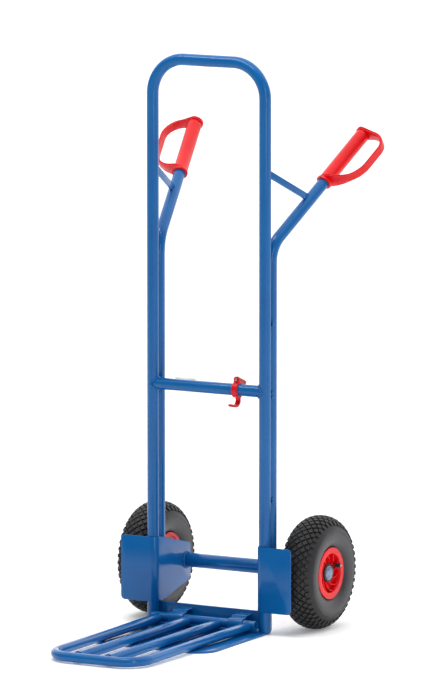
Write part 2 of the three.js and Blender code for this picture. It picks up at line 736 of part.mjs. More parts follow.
function bearing(from) {
  const inner = axleBore;
  const outer = bearingDiameter / 2;
  const to = from + bearingLength;
  return turned([[from, inner], [to, inner], [to, outer], [from, outer]], wheelCentre, roundSides);
}

function atValve(geometry) {
  const y = axleY + valveRadius * Math.cos(valveAngle);
  const z = axleZ + valveRadius * Math.sin(valveAngle);
  return geometry.translate(wheelX, y, z);
}

const valveStart = rimWidth / 2 - rimPocketDepth - rimWebThickness - 2;
const valveEnd = valveStart + valveLength;

function valveStem() {
  return atValve(rod(v(valveStart, 0, 0), v(valveEnd, 0, 0), valveDiameter / 2));
}

function valveCap() {
  const bore = valveDiameter / 2 + gap;
  const outer = valveCapDiameter / 2;
  const end = valveEnd + gap + 1.5;
  return atValve(turned([[valveEnd + gap, 0], [valveEnd + gap, bore], [end - valveCapLength, bore],
    [end - valveCapLength, outer], [end - 1, outer], [end, outer - 1], [end, 0]], [0, 0, 0], tubeSides));
}

// Assembly

const group = new THREE.Group();

function add(name, geometry, material, parent = group) {
  const mesh = new THREE.Mesh(geometry, material);
  mesh.name = name;
  parent.add(mesh);
}

function addPair(name, geometry, material) {
  add(`right_${name}`, geometry, material);
  add(`left_${name}`, mirrored(geometry), material);
}

add('main_hoop', mainHoop(), blueTube);
add('crossbar', crossbar(), blueTube);
add('rating_plate', ratingPlate(), paleLabel);
addPair('handle_tube', handleTube(), blueTube);
addPair('strut', strut(), bluePlate);
addPair('grip', grip(), redPlastic);
addPair('wheel_guard', wheelGuard(), bluePlate);
add('toe_plate', toePlate(), bluePlate);
add('right_hinge_strap', hingeStrap(1), bluePlate);
add('left_hinge_strap', hingeStrap(-1), bluePlate);

add('hinge_tube', hingeTube(), blueTube);
add('toe_hoop', toeHoop(), blueTube);
add('toe_bar_right', toeBar(1), blueTube);
add('toe_bar_left', toeBar(-1), blueTube);

add('catch_hook', catchHook(), redPlastic);
add('hook_rivet', hookRivet(), zincSteel);

add('axle_tube', axleTube(), blueTube);
add('axle', axle(), zincSteel);
addPair('axle_bush', axleBush(), bearingSteel);
addPair('axle_spacer', axleSpacer(), zincSteel);
addPair('axle_washer', axleWasher(), zincSteel);
addPair('cap_ring', capRing(), blackRubber);
addPair('axle_cap', axleCap(), zincSteel);

addPair('tyre', tyre(), tyreRubber);
addPair('inner_tube', innerTube(), blackRubber);
addPair('rim', rim(), redRim);
addPair('inner_bearing', bearing(-hubInner), bearingSteel);
addPair('outer_bearing', bearing(hubOuter - bearingLength), bearingSteel);
addPair('valve_stem', valveStem(), bearingSteel);
addPair('valve_cap', valveCap(), blackRubber);

export default group;
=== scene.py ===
import bpy
import math
from mathutils import Matrix, Vector


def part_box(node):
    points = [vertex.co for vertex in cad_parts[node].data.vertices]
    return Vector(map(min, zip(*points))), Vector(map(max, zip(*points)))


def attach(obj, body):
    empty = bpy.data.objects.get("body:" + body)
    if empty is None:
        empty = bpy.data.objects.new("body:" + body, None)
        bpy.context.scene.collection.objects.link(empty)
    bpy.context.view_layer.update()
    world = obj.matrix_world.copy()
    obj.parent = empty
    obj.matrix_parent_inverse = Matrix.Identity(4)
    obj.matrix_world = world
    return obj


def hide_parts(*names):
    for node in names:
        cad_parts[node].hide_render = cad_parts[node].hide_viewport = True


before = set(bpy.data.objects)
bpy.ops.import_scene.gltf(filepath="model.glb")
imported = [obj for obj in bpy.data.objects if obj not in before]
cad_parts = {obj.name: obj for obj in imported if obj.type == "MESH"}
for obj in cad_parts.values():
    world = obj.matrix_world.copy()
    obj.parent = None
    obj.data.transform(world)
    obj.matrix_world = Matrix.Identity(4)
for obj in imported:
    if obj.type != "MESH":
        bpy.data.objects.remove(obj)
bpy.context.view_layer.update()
print("hand truck: frame loaded")


def clearSelection():  # everything is let go before the next piece is picked
    if bpy.context.object and bpy.context.object.mode != "OBJECT":
        bpy.ops.object.mode_set(mode="OBJECT")
    bpy.ops.object.select_all(action="DESELECT")


def namePiece(name):
    piece = bpy.context.object  # the primitive that was just added
    piece.name = name
    piece.data.name = name
    return piece


def fixPlace(piece):
    clearSelection()
    piece.select_set(True)
    bpy.context.view_layer.objects.active = piece
    bpy.ops.object.transform_apply(location=True, rotation=True, scale=True)


def edit(piece, test=None):  # opens a piece with the points picked that pass the test, or all
    clearSelection()
    piece.select_set(True)
    bpy.context.view_layer.objects.active = piece
    bpy.context.tool_settings.mesh_select_mode = (True, False, False)
    for face in piece.data.polygons:
        face.select = False
    for edge in piece.data.edges:
        edge.select = False
    for vertex in piece.data.vertices:
        vertex.select = test is None or test(vertex.co)
    bpy.ops.object.mode_set(mode="EDIT")
    if test is None:
        bpy.ops.mesh.select_all(action="SELECT")


def extrude(step):
    bpy.ops.mesh.extrude_region_move(TRANSFORM_OT_translate={"value": Vector(step)})


def spin(turn, centre, axis, steps):
    bpy.ops.mesh.spin(steps=steps, angle=-turn, center=centre, axis=axis)  # spin counts its angle the other way


def cleanUp():  # merges doubles and turns all faces outward, then leaves edit mode
    bpy.ops.mesh.select_all(action="SELECT")
    bpy.ops.mesh.remove_doubles(threshold=1e-6)
    bpy.ops.mesh.dissolve_degenerate(threshold=1e-7)
    bpy.ops.mesh.normals_make_consistent(inside=False)
    bpy.ops.object.mode_set(mode="OBJECT")


def useModifier(piece, kind, **settings):
    clearSelection()
    piece.select_set(True)
    bpy.context.view_layer.objects.active = piece
    modifier = piece.modifiers.new(kind.lower(), kind)
    for key, value in settings.items():
        setattr(modifier, key, value)
    bpy.ops.object.modifier_apply(modifier=modifier.name)


def softenEdges(piece, width, segments=2, angle=40):
    useModifier(piece, "BEVEL", width=width, segments=segments, limit_method="ANGLE",
                angle_limit=math.radians(angle), harden_normals=False)


def shadeSmooth(piece, angle=35):
    clearSelection()
    piece.select_set(True)
    bpy.context.view_layer.objects.active = piece
    bpy.ops.object.shade_smooth_by_angle(angle=math.radians(angle))


def giveFinish(piece, material, body, slot, *nodes):
    piece.data.materials.clear()
    piece.data.materials.append(material)
    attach(piece, body)
    if nodes:
        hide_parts(*nodes)
    return piece


def joinPieces(name, pieces):
    clearSelection()
    for piece in pieces:
        piece.select_set(True)
    bpy.context.view_layer.objects.active = pieces[0]
    bpy.ops.object.join()
    return namePiece(name)


def mirroredCopy(piece, name):  # the same piece for the left side
    clearSelection()
    piece.select_set(True)
    bpy.context.view_layer.objects.active = piece
    bpy.ops.object.duplicate()
    copy = namePiece(name)
    edit(copy)
    bpy.ops.transform.resize(value=(-1, 1, 1), center_override=(0, 0, 0))
    bpy.ops.mesh.flip_normals()
    bpy.ops.object.mode_set(mode="OBJECT")
    return copy


def bentRoute(corners, bendRadius):  # straight runs and bends, as a tube bender makes them
    moves = []
    here = corners[0]
    for before, corner, after in zip(corners, corners[1:], corners[2:]):
        runIn = (corner - before).normalized()
        runOut = (after - corner).normalized()
        turn = runIn.angle(runOut)
        setback = bendRadius * math.tan(turn / 2)
        bendStart = corner - runIn * setback
        axis = runIn.cross(runOut).normalized()
        moves.append(("run", bendStart - here))
        moves.append(("bend", bendStart + axis.cross(runIn) * bendRadius, axis, turn))
        here = corner + runOut * setback
    moves.append(("run", corners[-1] - here))
    return moves


def makeTube(name, corners, bendRadius, diameter, wall, sides=40, arcSteps=24):
    corners = [Vector(corner) for corner in corners]
    direction = (corners[1] - corners[0]).normalized()
    clearSelection()
    bpy.ops.mesh.primitive_circle_add(vertices=sides, radius=diameter / 2, location=corners[0],
                                      rotation=direction.to_track_quat("Z", "Y").to_euler())
    piece = namePiece(name)
    fixPlace(piece)
    edit(piece)
    for move in bentRoute(corners, bendRadius):
        if move[0] == "run":
            extrude(move[1])
        else:
            spin(move[3], move[1], move[2], arcSteps)
    cleanUp()
    useModifier(piece, "SOLIDIFY", thickness=wall, offset=-1, use_even_offset=True)
    softenEdges(piece, 0.0004, 2, 60)
    shadeSmooth(piece)
    return piece


def makeLoop(name, points):  # a closed outline, drawn by moving the points of a circle
    clearSelection()
    bpy.ops.mesh.primitive_circle_add(vertices=len(points), radius=0.01)
    piece = namePiece(name)
    for vertex, point in zip(piece.data.vertices, points):
        vertex.co = point
    return piece


def turnProfile(name, profile, centre, steps=96):  # profile of (along X, radius) points, turned about the X axis
    piece = makeLoop(name, [Vector((centre.x + x, centre.y, centre.z + radius)) for x, radius in profile])
    edit(piece)
    spin(2 * math.pi, centre, (1, 0, 0), steps)
    cleanUp()
    return piece


def makeStrip(name, points, width, widths=None):  # a band that follows points, with its width along X
    clearSelection()
    bpy.ops.mesh.primitive_plane_add(size=1)
    piece = namePiece(name)
    first, second = Vector(points[0]), Vector(points[1])
    half = Vector((width / 2, 0, 0))
    for vertex, point in zip(piece.data.vertices, (first - half, first + half, second - half, second + half)):
        vertex.co = point
    for here, there in zip(points[1:], points[2:]):
        here = Vector(here)
        edit(piece, lambda co: (co - here).yz.length < 1e-6)
        extrude(Vector(there) - here)
        bpy.ops.object.mode_set(mode="OBJECT")
    if widths:
        for index, factor in widths.items():
            here = Vector(points[index])
            edit(piece, lambda co: (co - here).yz.length < 1e-6)
            bpy.ops.transform.resize(value=(factor, 1, 1), center_override=here)
            bpy.ops.object.mode_set(mode="OBJECT")
    return piece


def smoothLine(points, steps):  # extra points on a smooth line through the given ones
    points = [Vector(point) for point in points]
    padded = [2 * points[0] - points[1], *points, 2 * points[-1] - points[-2]]
    line = []
    for a, b, c, d in zip(padded, padded[1:], padded[2:], padded[3:]):
        for step in range(steps):
            t = step / steps
            line.append(0.5 * ((2 * b) + (c - a) * t + (2 * a - 5 * b + 4 * c - d) * t ** 2
                               + (3 * b - a - 3 * c + d) * t ** 3))
    return [*line, points[-1]]


def faceTowards(piece, direction):  # turns an open sheet so that its largest face looks that way
    largest = max(piece.data.polygons, key=lambda face: face.area)
    if largest.normal.dot(Vector(direction)) < 0:
        edit(piece)
        bpy.ops.mesh.flip_normals()
        bpy.ops.object.mode_set(mode="OBJECT")


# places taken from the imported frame
hoopLow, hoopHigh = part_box("main_hoop")
tubeHalf = (hoopHigh.y - hoopLow.y) / 2
uprightX = hoopHigh.x - tubeHalf
axleLow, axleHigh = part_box("right_axle_spacer")
axleY = (axleLow.y + axleHigh.y) / 2
axleZ = (axleLow.z + axleHigh.z) / 2
tyreLow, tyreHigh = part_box("right_tyre")
wheelCentre = Vector(((tyreLow.x + tyreHigh.x) / 2, axleY, axleZ))
crossLow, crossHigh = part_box("crossbar")
crossZ = (crossLow.z + crossHigh.z) / 2
hingeLow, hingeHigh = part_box("hinge_tube")
hingeY = (hingeLow.y + hingeHigh.y) / 2
hingeZ = (hingeLow.z + hingeHigh.z) / 2
plateLow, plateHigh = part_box("toe_plate")
toeLow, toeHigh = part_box("toe_hoop")
toeTubeHalf = (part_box("toe_bar_right")[1].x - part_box("toe_bar_right")[0].x) / 2
toeLegX = toeHigh.x - toeTubeHalf
toeBarX = (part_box("toe_bar_right")[1].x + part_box("toe_bar_right")[0].x) / 2
toeFrontY = toeLow.y + toeTubeHalf
toeFrontZ = toeLow.z + toeTubeHalf


def linearColour(code):  # sRGB hex to the linear values a shader takes
    channels = [int(code[i:i + 2], 16) / 255 for i in (1, 3, 5)]
    return (*[c / 12.92 if c <= 0.04045 else ((c + 0.055) / 1.055) ** 2.4 for c in channels], 1)


def plugIn(tree, node, inputs):  # a socket is linked, anything else is set on the input itself
    for key, value in inputs.items():
        if isinstance(value, bpy.types.NodeSocket):
            tree.links.new(value, node.inputs[key])
        else:
            node.inputs[key].default_value = value
    return node


def addNode(tree, kind, inputs=None, stops=(), **settings):
    node = tree.nodes.new(kind)
    for key, value in settings.items():
        setattr(node, key, value)
    for index, (position, code) in enumerate(stops):
        element = node.color_ramp.elements[index] if index < 2 else node.color_ramp.elements.new(position)
        element.position = position
        element.color = linearColour(code)
    return plugIn(tree, node, inputs or {})


def startMaterial(name):
    material = bpy.data.materials.new(name)
    material.use_nodes = True
    tree = material.node_tree
    return material, tree, tree.nodes["Principled BSDF"], addNode(tree, "ShaderNodeTexCoord").outputs["Object"]


# baked powder coat on steel: glossy, with a faint orange peel
paintLook = {"dark": "#0A5A9B", "light": "#0E63A5", "cloudMm": 160, "patchMm": 22, "peelMm": 2.2, "peelDeepMm": 0.012,
             "roughness": (0.13, 0.20), "coat": 0.08, "coatRoughness": 0.04, "ior": 1.34}


def powderCoat():
    material, tree, shader, where = startMaterial("bluePowderCoat")
    cloud = addNode(tree, "ShaderNodeTexNoise", {"Vector": where, "Scale": 1000 / paintLook["cloudMm"], "Detail": 2,
                                                 "Roughness": 0.55})
    patches = addNode(tree, "ShaderNodeTexNoise", {"Vector": where, "Scale": 1000 / paintLook["patchMm"], "Detail": 3,
                                                   "Roughness": 0.55})
    peel = addNode(tree, "ShaderNodeTexNoise", {"Vector": where, "Scale": 1000 / paintLook["peelMm"], "Detail": 2,
                                                "Roughness": 0.55})
    colour = addNode(tree, "ShaderNodeValToRGB", {"Fac": cloud.outputs["Fac"]},
                     [(0.3, paintLook["dark"]), (0.7, paintLook["light"])])
    smooth, dull = paintLook["roughness"]
    sheen = addNode(tree, "ShaderNodeMapRange", {"Value": patches.outputs["Fac"], "From Min": 0.3, "From Max": 0.7,
                                                 "To Min": smooth, "To Max": dull})
    skin = addNode(tree, "ShaderNodeBump", {"Height": peel.outputs["Fac"], "Distance": paintLook["peelDeepMm"] / 1000,
                                            "Strength": 0.3})
    plugIn(tree, shader, {"Base Color": colour.outputs["Color"], "Roughness": sheen.outputs["Result"],
                          "Normal": skin.outputs["Normal"], "IOR": paintLook["ior"], "Coat Weight": paintLook["coat"],
                          "Coat Roughness": paintLook["coatRoughness"]})
    return material


# dyed polypropylene, moulded: even and saturated with a satin skin; the grain is coarser than the real one, to show
gripLook = {"name": "redGripPlastic", "light": "#E4000F", "dark": "#D6000C", "grainMm": 1.6, "roughness": 0.34}
rimLook = {"name": "redRimPlastic", "light": "#EA0010", "dark": "#DC000D", "grainMm": 2.0, "roughness": 0.34}
hookLook = {"name": "redHookPlastic", "light": "#DC0410", "dark": "#CC020C", "grainMm": 1.4, "roughness": 0.36}


def mouldedRed(look):
    material, tree, shader, where = startMaterial(look["name"])
    cloud = addNode(tree, "ShaderNodeTexNoise", {"Vector": where, "Scale": 1000 / 45, "Detail": 2, "Roughness": 0.55})
    flow = addNode(tree, "ShaderNodeTexNoise", {"Vector": where, "Scale": 1000 / 9, "Detail": 3, "Roughness": 0.55})
    grain = addNode(tree, "ShaderNodeTexNoise", {"Vector": where, "Scale": 1000 / look["grainMm"], "Detail": 2,
                                                 "Roughness": 0.55})
    colour = addNode(tree, "ShaderNodeValToRGB", {"Fac": cloud.outputs["Fac"]},
                     [(0.3, look["dark"]), (0.7, look["light"])])
    sheen = addNode(tree, "ShaderNodeMapRange", {"Value": flow.outputs["Fac"], "From Min": 0.3, "From Max": 0.7,
                                                 "To Min": look["roughness"] - 0.05,
                                                 "To Max": look["roughness"] + 0.05})
    skin = addNode(tree, "ShaderNodeBump", {"Height": grain.outputs["Fac"], "Distance": 0.04 / 1000, "Strength": 0.3})
    plugIn(tree, shader, {"Base Color": colour.outputs["Color"], "Roughness": sheen.outputs["Result"],
                          "Normal": skin.outputs["Normal"], "IOR": 1.4})
    return material


# vulcanised rubber: dusty grey on the side wall, with a painted highlight on its bulge and painted shade in the hollow
# by the rim, darker and duller in the tread; grain coarser than real, to show
rubberLook = {"bead": "#1A1A1D", "lowWall": "#38383C", "wall": "#303034", "shoulder": "#19191C", "tread": "#151518",
              "dustMm": 26, "grainMm": 1.4, "grainDeepMm": 0.12}


def tyreRubber():
    material, tree, shader, where = startMaterial("tyreRubber")
    split = addNode(tree, "ShaderNodeSeparateXYZ", {"Vector": where})
    along = addNode(tree, "ShaderNodeMath", {0: split.outputs["Y"], 1: axleY}, operation="SUBTRACT")
    up = addNode(tree, "ShaderNodeMath", {0: split.outputs["Z"], 1: axleZ}, operation="SUBTRACT")
    flat = addNode(tree, "ShaderNodeCombineXYZ", {"X": along.outputs["Value"], "Y": up.outputs["Value"]})
    reach = addNode(tree, "ShaderNodeVectorMath", {0: flat.outputs["Vector"]}, operation="LENGTH")
    # this noise wobbles the bands of dusty grey, painted highlight and painted shade on the side wall
    dustAndHighlight = addNode(tree, "ShaderNodeTexNoise", {"Vector": where, "Scale": 1000 / rubberLook["dustMm"], "Detail": 5,
                                                "Roughness": 0.65})
    grain = addNode(tree, "ShaderNodeTexNoise", {"Vector": where, "Scale": 1000 / rubberLook["grainMm"], "Detail": 3,
                                                 "Roughness": 0.55})
    uneven = addNode(tree, "ShaderNodeMath", {0: dustAndHighlight.outputs["Fac"], 1: 0.010, 2: reach.outputs["Value"]},
                     operation="MULTIPLY_ADD")
    outward = addNode(tree, "ShaderNodeMapRange", {"Value": uneven.outputs["Value"], "From Min": 0.060,
                                                   "From Max": 0.125})  # distance from the axle, bead to tread
    # colour bands by distance from the axle: painted shade at the rim (the bead stop), a painted highlight on the bulge
    # of the side wall, dusty grey wall, dark shoulder and tread
    colour = addNode(tree, "ShaderNodeValToRGB", {"Fac": outward.outputs["Result"]},
                     [(0.0, rubberLook["bead"]), (0.28, rubberLook["lowWall"]), (0.5, rubberLook["wall"]),
                      (0.72, rubberLook["shoulder"]), (1.0, rubberLook["tread"])])
    sheen = addNode(tree, "ShaderNodeMapRange", {"Value": outward.outputs["Result"], "From Min": 0.55, "From Max": 0.75,
                                                 "To Min": 0.42, "To Max": 0.6})
    skin = addNode(tree, "ShaderNodeBump", {"Height": grain.outputs["Fac"],
                                            "Distance": rubberLook["grainDeepMm"] / 1000, "Strength": 0.4})
    plugIn(tree, shader, {"Base Color": colour.outputs["Color"], "Roughness": sheen.outputs["Result"],
                          "Normal": skin.outputs["Normal"], "IOR": 1.5})
    return material


# bright zinc plating: bluish, with cloudy patches
zincLook = {"dark": "#5E6A82", "light": "#98A3B8", "cloudMm": 7, "spangleMm": 5}


def zincPlate():
    material, tree, shader, where = startMaterial("brightZinc")
    spangle = addNode(tree, "ShaderNodeTexVoronoi", {"Vector": where, "Scale": 1000 / zincLook["spangleMm"]})
    cloud = addNode(tree, "ShaderNodeTexNoise", {"Vector": where, "Scale": 1000 / zincLook["cloudMm"], "Detail": 3,
                                                 "Roughness": 0.55})
    colour = addNode(tree, "ShaderNodeValToRGB", {"Fac": cloud.outputs["Fac"]},
                     [(0.3, zincLook["dark"]), (0.7, zincLook["light"])])
    sheen = addNode(tree, "ShaderNodeMapRange", {"Value": cloud.outputs["Fac"], "From Min": 0.3, "From Max": 0.7,
                                                 "To Min": 0.22, "To Max": 0.42})
    skin = addNode(tree, "ShaderNodeBump", {"Height": spangle.outputs["Distance"], "Distance": 0.1 / 1000,
                                            "Strength": 0.25})
    plugIn(tree, shader, {"Base Color": colour.outputs["Color"], "Roughness": sheen.outputs["Result"],
                          "Normal": skin.outputs["Normal"], "Metallic": 1.0})
    return material


# moulded polyethylene, black: soft satin with a fine texture, drawn coarser than the real one so that it shows
blackLook = {"dark": "#0E0F11", "light": "#1B1C20", "cloudMm": 12, "grainMm": 1.2}


def blackPlastic():
    material, tree, shader, where = startMaterial("blackPlastic")
    cloud = addNode(tree, "ShaderNodeTexNoise", {"Vector": where, "Scale": 1000 / blackLook["cloudMm"], "Detail": 3,
                                                 "Roughness": 0.55})
    grain = addNode(tree, "ShaderNodeTexNoise", {"Vector": where, "Scale": 1000 / blackLook["grainMm"], "Detail": 2,
                                                 "Roughness": 0.55})
    colour = addNode(tree, "ShaderNodeValToRGB", {"Fac": cloud.outputs["Fac"]},
                     [(0.3, blackLook["dark"]), (0.7, blackLook["light"])])
    sheen = addNode(tree, "ShaderNodeMapRange", {"Value": grain.outputs["Fac"], "From Min": 0.3, "From Max": 0.7,
                                                 "To Min": 0.32, "To Max": 0.45})
    skin = addNode(tree, "ShaderNodeBump", {"Height": grain.outputs["Fac"], "Distance": 0.03 / 1000, "Strength": 0.3})
    plugIn(tree, shader, {"Base Color": colour.outputs["Color"], "Roughness": sheen.outputs["Result"],
                          "Normal": skin.outputs["Normal"], "IOR": 1.48})
    return material


# lathe-turned steel: fine rings, drawn coarser than the real ones so that they show
steelLook = {"dark": "#85898F", "light": "#B4B8BD", "ringMm": 0.8}


def groundSteel():
    material, tree, shader, where = startMaterial("groundSteel")
    drawn = addNode(tree, "ShaderNodeMapping", {"Vector": where, "Scale": (1, 0.05, 0.05)})
    rings = addNode(tree, "ShaderNodeTexNoise", {"Vector": drawn.outputs["Vector"], "Scale": 1000 / steelLook["ringMm"],
                                                 "Detail": 2, "Roughness": 0.55})
    colour = addNode(tree, "ShaderNodeValToRGB", {"Fac": rings.outputs["Fac"]},
                     [(0.3, steelLook["dark"]), (0.7, steelLook["light"])])
    sheen = addNode(tree, "ShaderNodeMapRange", {"Value": rings.outputs["Fac"], "From Min": 0.3, "From Max": 0.7,
                                                 "To Min": 0.25, "To Max": 0.4})
    skin = addNode(tree, "ShaderNodeBump", {"Height": rings.outputs["Fac"], "Distance": 0.02 / 1000, "Strength": 0.3})
    plugIn(tree, shader, {"Base Color": colour.outputs["Color"], "Roughness": sheen.outputs["Result"],
                          "Normal": skin.outputs["Normal"], "Metallic": 1.0})
    return material


# milky plastic film: thin enough that light comes through it from behind
filmLook = {"dark": "#F4F5EF", "light": "#FBFBF7", "through": 0.65}


def blankLabel():
    material, tree, shader, where = startMaterial("blankLabelFilm")
    cloud = addNode(tree, "ShaderNodeTexNoise", {"Vector": where, "Scale": 1000 / 15, "Detail": 2, "Roughness": 0.55})
    grain = addNode(tree, "ShaderNodeTexNoise", {"Vector": where, "Scale": 1000 / 1, "Detail": 2, "Roughness": 0.55})
    colour = addNode(tree, "ShaderNodeValToRGB", {"Fac": cloud.outputs["Fac"]},
                     [(0.3, filmLook["dark"]), (0.7, filmLook["light"])])
    sheen = addNode(tree, "ShaderNodeMapRange", {"Value": cloud.outputs["Fac"], "From Min": 0.3, "From Max": 0.7,
                                                 "To Min": 0.4, "To Max": 0.5})
    skin = addNode(tree, "ShaderNodeBump", {"Height": grain.outputs["Fac"], "Distance": 0.02 / 1000, "Strength": 0.2})
    plugIn(tree, shader, {"Base Color": colour.outputs["Color"], "Roughness": sheen.outputs["Result"],
                          "Normal": skin.outputs["Normal"], "Transmission Weight": filmLook["through"]})
    return material


bluePaint = powderCoat()
redGrip = mouldedRed(gripLook)
redRimPlastic = mouldedRed(rimLook)
redHookPlastic = mouldedRed(hookLook)
tyreBlack = tyreRubber()
zinc = zincPlate()
blackMoulding = blackPlastic()
steel = groundSteel()
labelBlank = blankLabel()
print("hand truck: materials ready")


# frame tubes: hoop, crossbar, two handles that lean back, and the tube round the axle
frameTube = {"diameter": 0.0269, "wall": 0.002, "hoopBend": 0.080, "handleBend": 0.070, "barSetback": 0.004,
             "axleDiameter": 0.033, "axleWall": 0.0025}
handleSize = {"run": (0.196, 0.773, 0.603), "drop": 0.426, "length": 0.376, "y": 0.0272, "foot": 0.070}
handleRun = Vector(handleSize["run"]).normalized()
frameTop = hoopHigh.z - tubeHalf + frameTube["diameter"] / 2
handleCorner = Vector((uprightX, handleSize["y"], frameTop - handleSize["drop"]))


def makeFrameTubes():
    hoopZ = hoopHigh.z - tubeHalf
    corners = [(-uprightX, 0, hoopLow.z), (-uprightX, 0, hoopZ), (uprightX, 0, hoopZ), (uprightX, 0, hoopLow.z)]
    hoop = makeTube("mainHoop", corners, frameTube["hoopBend"], frameTube["diameter"], frameTube["wall"], 48, 32)
    giveFinish(hoop, bluePaint, "frame", "blue_tube", "main_hoop")
    reach = uprightX - frameTube["barSetback"]
    bar = makeTube("crossbarTube", [(-reach, 0, crossZ), (reach, 0, crossZ)], 0, frameTube["diameter"],
                   frameTube["wall"])
    giveFinish(bar, bluePaint, "frame", "blue_tube", "crossbar")
    end = handleCorner + handleRun * handleSize["length"]
    corners = [(uprightX, handleSize["y"], handleSize["foot"]), handleCorner, end]
    right = makeTube("rightHandleTube", corners, frameTube["handleBend"], frameTube["diameter"], frameTube["wall"])
    left = mirroredCopy(right, "leftHandleTube")
    giveFinish(right, bluePaint, "frame", "blue_tube", "right_handle_tube")
    giveFinish(left, bluePaint, "frame", "blue_tube", "left_handle_tube")
    low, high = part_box("axle_tube")
    tube = makeTube("axleCrossTube", [(low.x, axleY, axleZ), (high.x, axleY, axleZ)], 0, frameTube["axleDiameter"],
                    frameTube["axleWall"])
    giveFinish(tube, bluePaint, "frame", "blue_tube", "axle_tube")


makeFrameTubes()


# struts: flat bars between the uprights and the handles
strutSize = {"width": 0.015, "thickness": 0.006, "drop": 0.254, "reach": 0.160, "edge": 0.0008, "topGap": 0.010,
             "handleGap": 0.009}


def makeStruts():
    top = Vector((uprightX, 0, frameTop - strutSize["drop"]))
    bottom = handleCorner + handleRun * strutSize["reach"]
    along = (bottom - top).normalized()
    across = along.cross(Vector((1, 0, 0))).normalized()
    side = along.cross(across)
    start = top + along * strutSize["topGap"]
    end = bottom - along * strutSize["handleGap"]
    clearSelection()
    bpy.ops.mesh.primitive_cube_add(size=1)
    bar = namePiece("rightStrut")
    edges = (along * (end - start).length, across * strutSize["width"], side * strutSize["thickness"])
    bar.matrix_world = Matrix.Translation((start + end) / 2) @ Matrix(edges).transposed().to_4x4()
    fixPlace(bar)
    edit(bar)
    bpy.ops.mesh.normals_make_consistent(inside=False)
    bpy.ops.object.mode_set(mode="OBJECT")
    softenEdges(bar, strutSize["edge"], 3)
    shadeSmooth(bar)
    other = mirroredCopy(bar, "leftStrut")
    giveFinish(bar, bluePaint, "frame", "blue_sheet", "right_strut")
    giveFinish(other, bluePaint, "frame", "blue_sheet", "left_strut")


makeStruts()


# wheel guards: sheets bent round the uprights, cut on a slant behind
guardSize = {"thickness": 0.0025, "corner": 0.010, "rearAbove": 0.0385, "rearBelow": 0.0445}


def makeGuards():
    low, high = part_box("right_wheel_guard")
    frontY = low.y + guardSize["thickness"] / 2
    height = high.z - low.z
    clearSelection()
    bpy.ops.mesh.primitive_plane_add(size=1, location=((uprightX + high.x) / 2, frontY, (low.z + high.z) / 2),
                                     rotation=(math.pi / 2, 0, 0))
    guard = namePiece("rightWheelGuard")
    guard.scale = (high.x - uprightX, height, 1)
    fixPlace(guard)
    edit(guard, lambda co: co.x < uprightX + 1e-5)
    spin(-math.pi / 2, (uprightX, 0, 0), (0, 0, 1), 20)
    slantStart = -frontY - guardSize["thickness"] / 2
    extrude((0, slantStart, 0))
    extrude((0, high.y - slantStart, 0))
    topDrop = high.z - axleZ - guardSize["rearAbove"]
    bottomRise = axleZ - guardSize["rearBelow"] - low.z
    share = slantStart / high.y
    bpy.ops.object.mode_set(mode="OBJECT")
    for test, move in ((lambda co: co.y > high.y - 1e-5 and co.z > high.z - 1e-5, -topDrop),
                       (lambda co: co.y > high.y - 1e-5 and co.z < low.z + 1e-5, bottomRise),
                       (lambda co: abs(co.y - slantStart) < 1e-5 and co.z > high.z - 1e-5, -topDrop * share)):
        edit(guard, test)
        bpy.ops.transform.translate(value=(0, 0, move))
        bpy.ops.object.mode_set(mode="OBJECT")
    edit(guard, lambda co: co.x > high.x - 1e-5 or co.y > high.y - 1e-5)
    bpy.ops.mesh.bevel(offset=guardSize["corner"], segments=8, affect="VERTICES")
    bpy.ops.object.mode_set(mode="OBJECT")
    faceTowards(guard, (0, -1, 0) if abs(max(guard.data.polygons, key=lambda f: f.area).normal.y) > 0.5 else (-1, 0, 0))
    useModifier(guard, "SOLIDIFY", thickness=guardSize["thickness"], offset=0, use_even_offset=True)
    softenEdges(guard, 0.0005, 2, 50)
    shadeSmooth(guard)
    other = mirroredCopy(guard, "leftWheelGuard")
    giveFinish(guard, bluePaint, "frame", "blue_sheet", "right_wheel_guard")
    giveFinish(other, bluePaint, "frame", "blue_sheet", "left_wheel_guard")


makeGuards()


# toe plate: one sheet with rounded front corners and a flange bent up behind
plateSize = {"thickness": 0.005, "bend": 0.012, "corner": 0.050, "flangeShare": 0.952}


def makeToePlate():
    bendY = plateHigh.y - plateSize["bend"]
    clearSelection()
    bpy.ops.mesh.primitive_plane_add(size=1, location=(0, (plateLow.y + bendY) / 2, 0))
    plate = namePiece("toePlateSheet")
    plate.scale = (plateHigh.x - plateLow.x, bendY - plateLow.y, 1)
    fixPlace(plate)
    edit(plate, lambda co: co.y > bendY - 1e-5)
    spin(math.pi / 2, (0, bendY, plateSize["bend"]), (1, 0, 0), 16)
    extrude((0, 0, plateHigh.z - plateSize["bend"]))
    bpy.ops.object.mode_set(mode="OBJECT")
    edit(plate, lambda co: co.y < plateLow.y + 1e-5)
    bpy.ops.mesh.bevel(offset=plateSize["corner"], segments=20, affect="VERTICES")
    bpy.ops.object.mode_set(mode="OBJECT")
    edit(plate, lambda co: co.y > bendY - 1e-5)
    bpy.ops.transform.resize(value=(plateSize["flangeShare"], 1, 1), center_override=(0, 0, 0))
    bpy.ops.object.mode_set(mode="OBJECT")
    faceTowards(plate, (0, 0, -1))
    useModifier(plate, "SOLIDIFY", thickness=plateSize["thickness"], offset=-1, use_even_offset=True)
    softenEdges(plate, 0.0008, 3, 50)
    shadeSmooth(plate)
    giveFinish(plate, bluePaint, "frame", "blue_sheet", "toe_plate")


makeToePlate()


# hinge straps: stepped down from the flange and bent over the hinge pipe
strapSize = {"thickness": 0.0028, "inside": 0.0109, "step": 0.005, "stepAt": 0.0105, "stepRun": 0.0025, "arcSteps": 16}


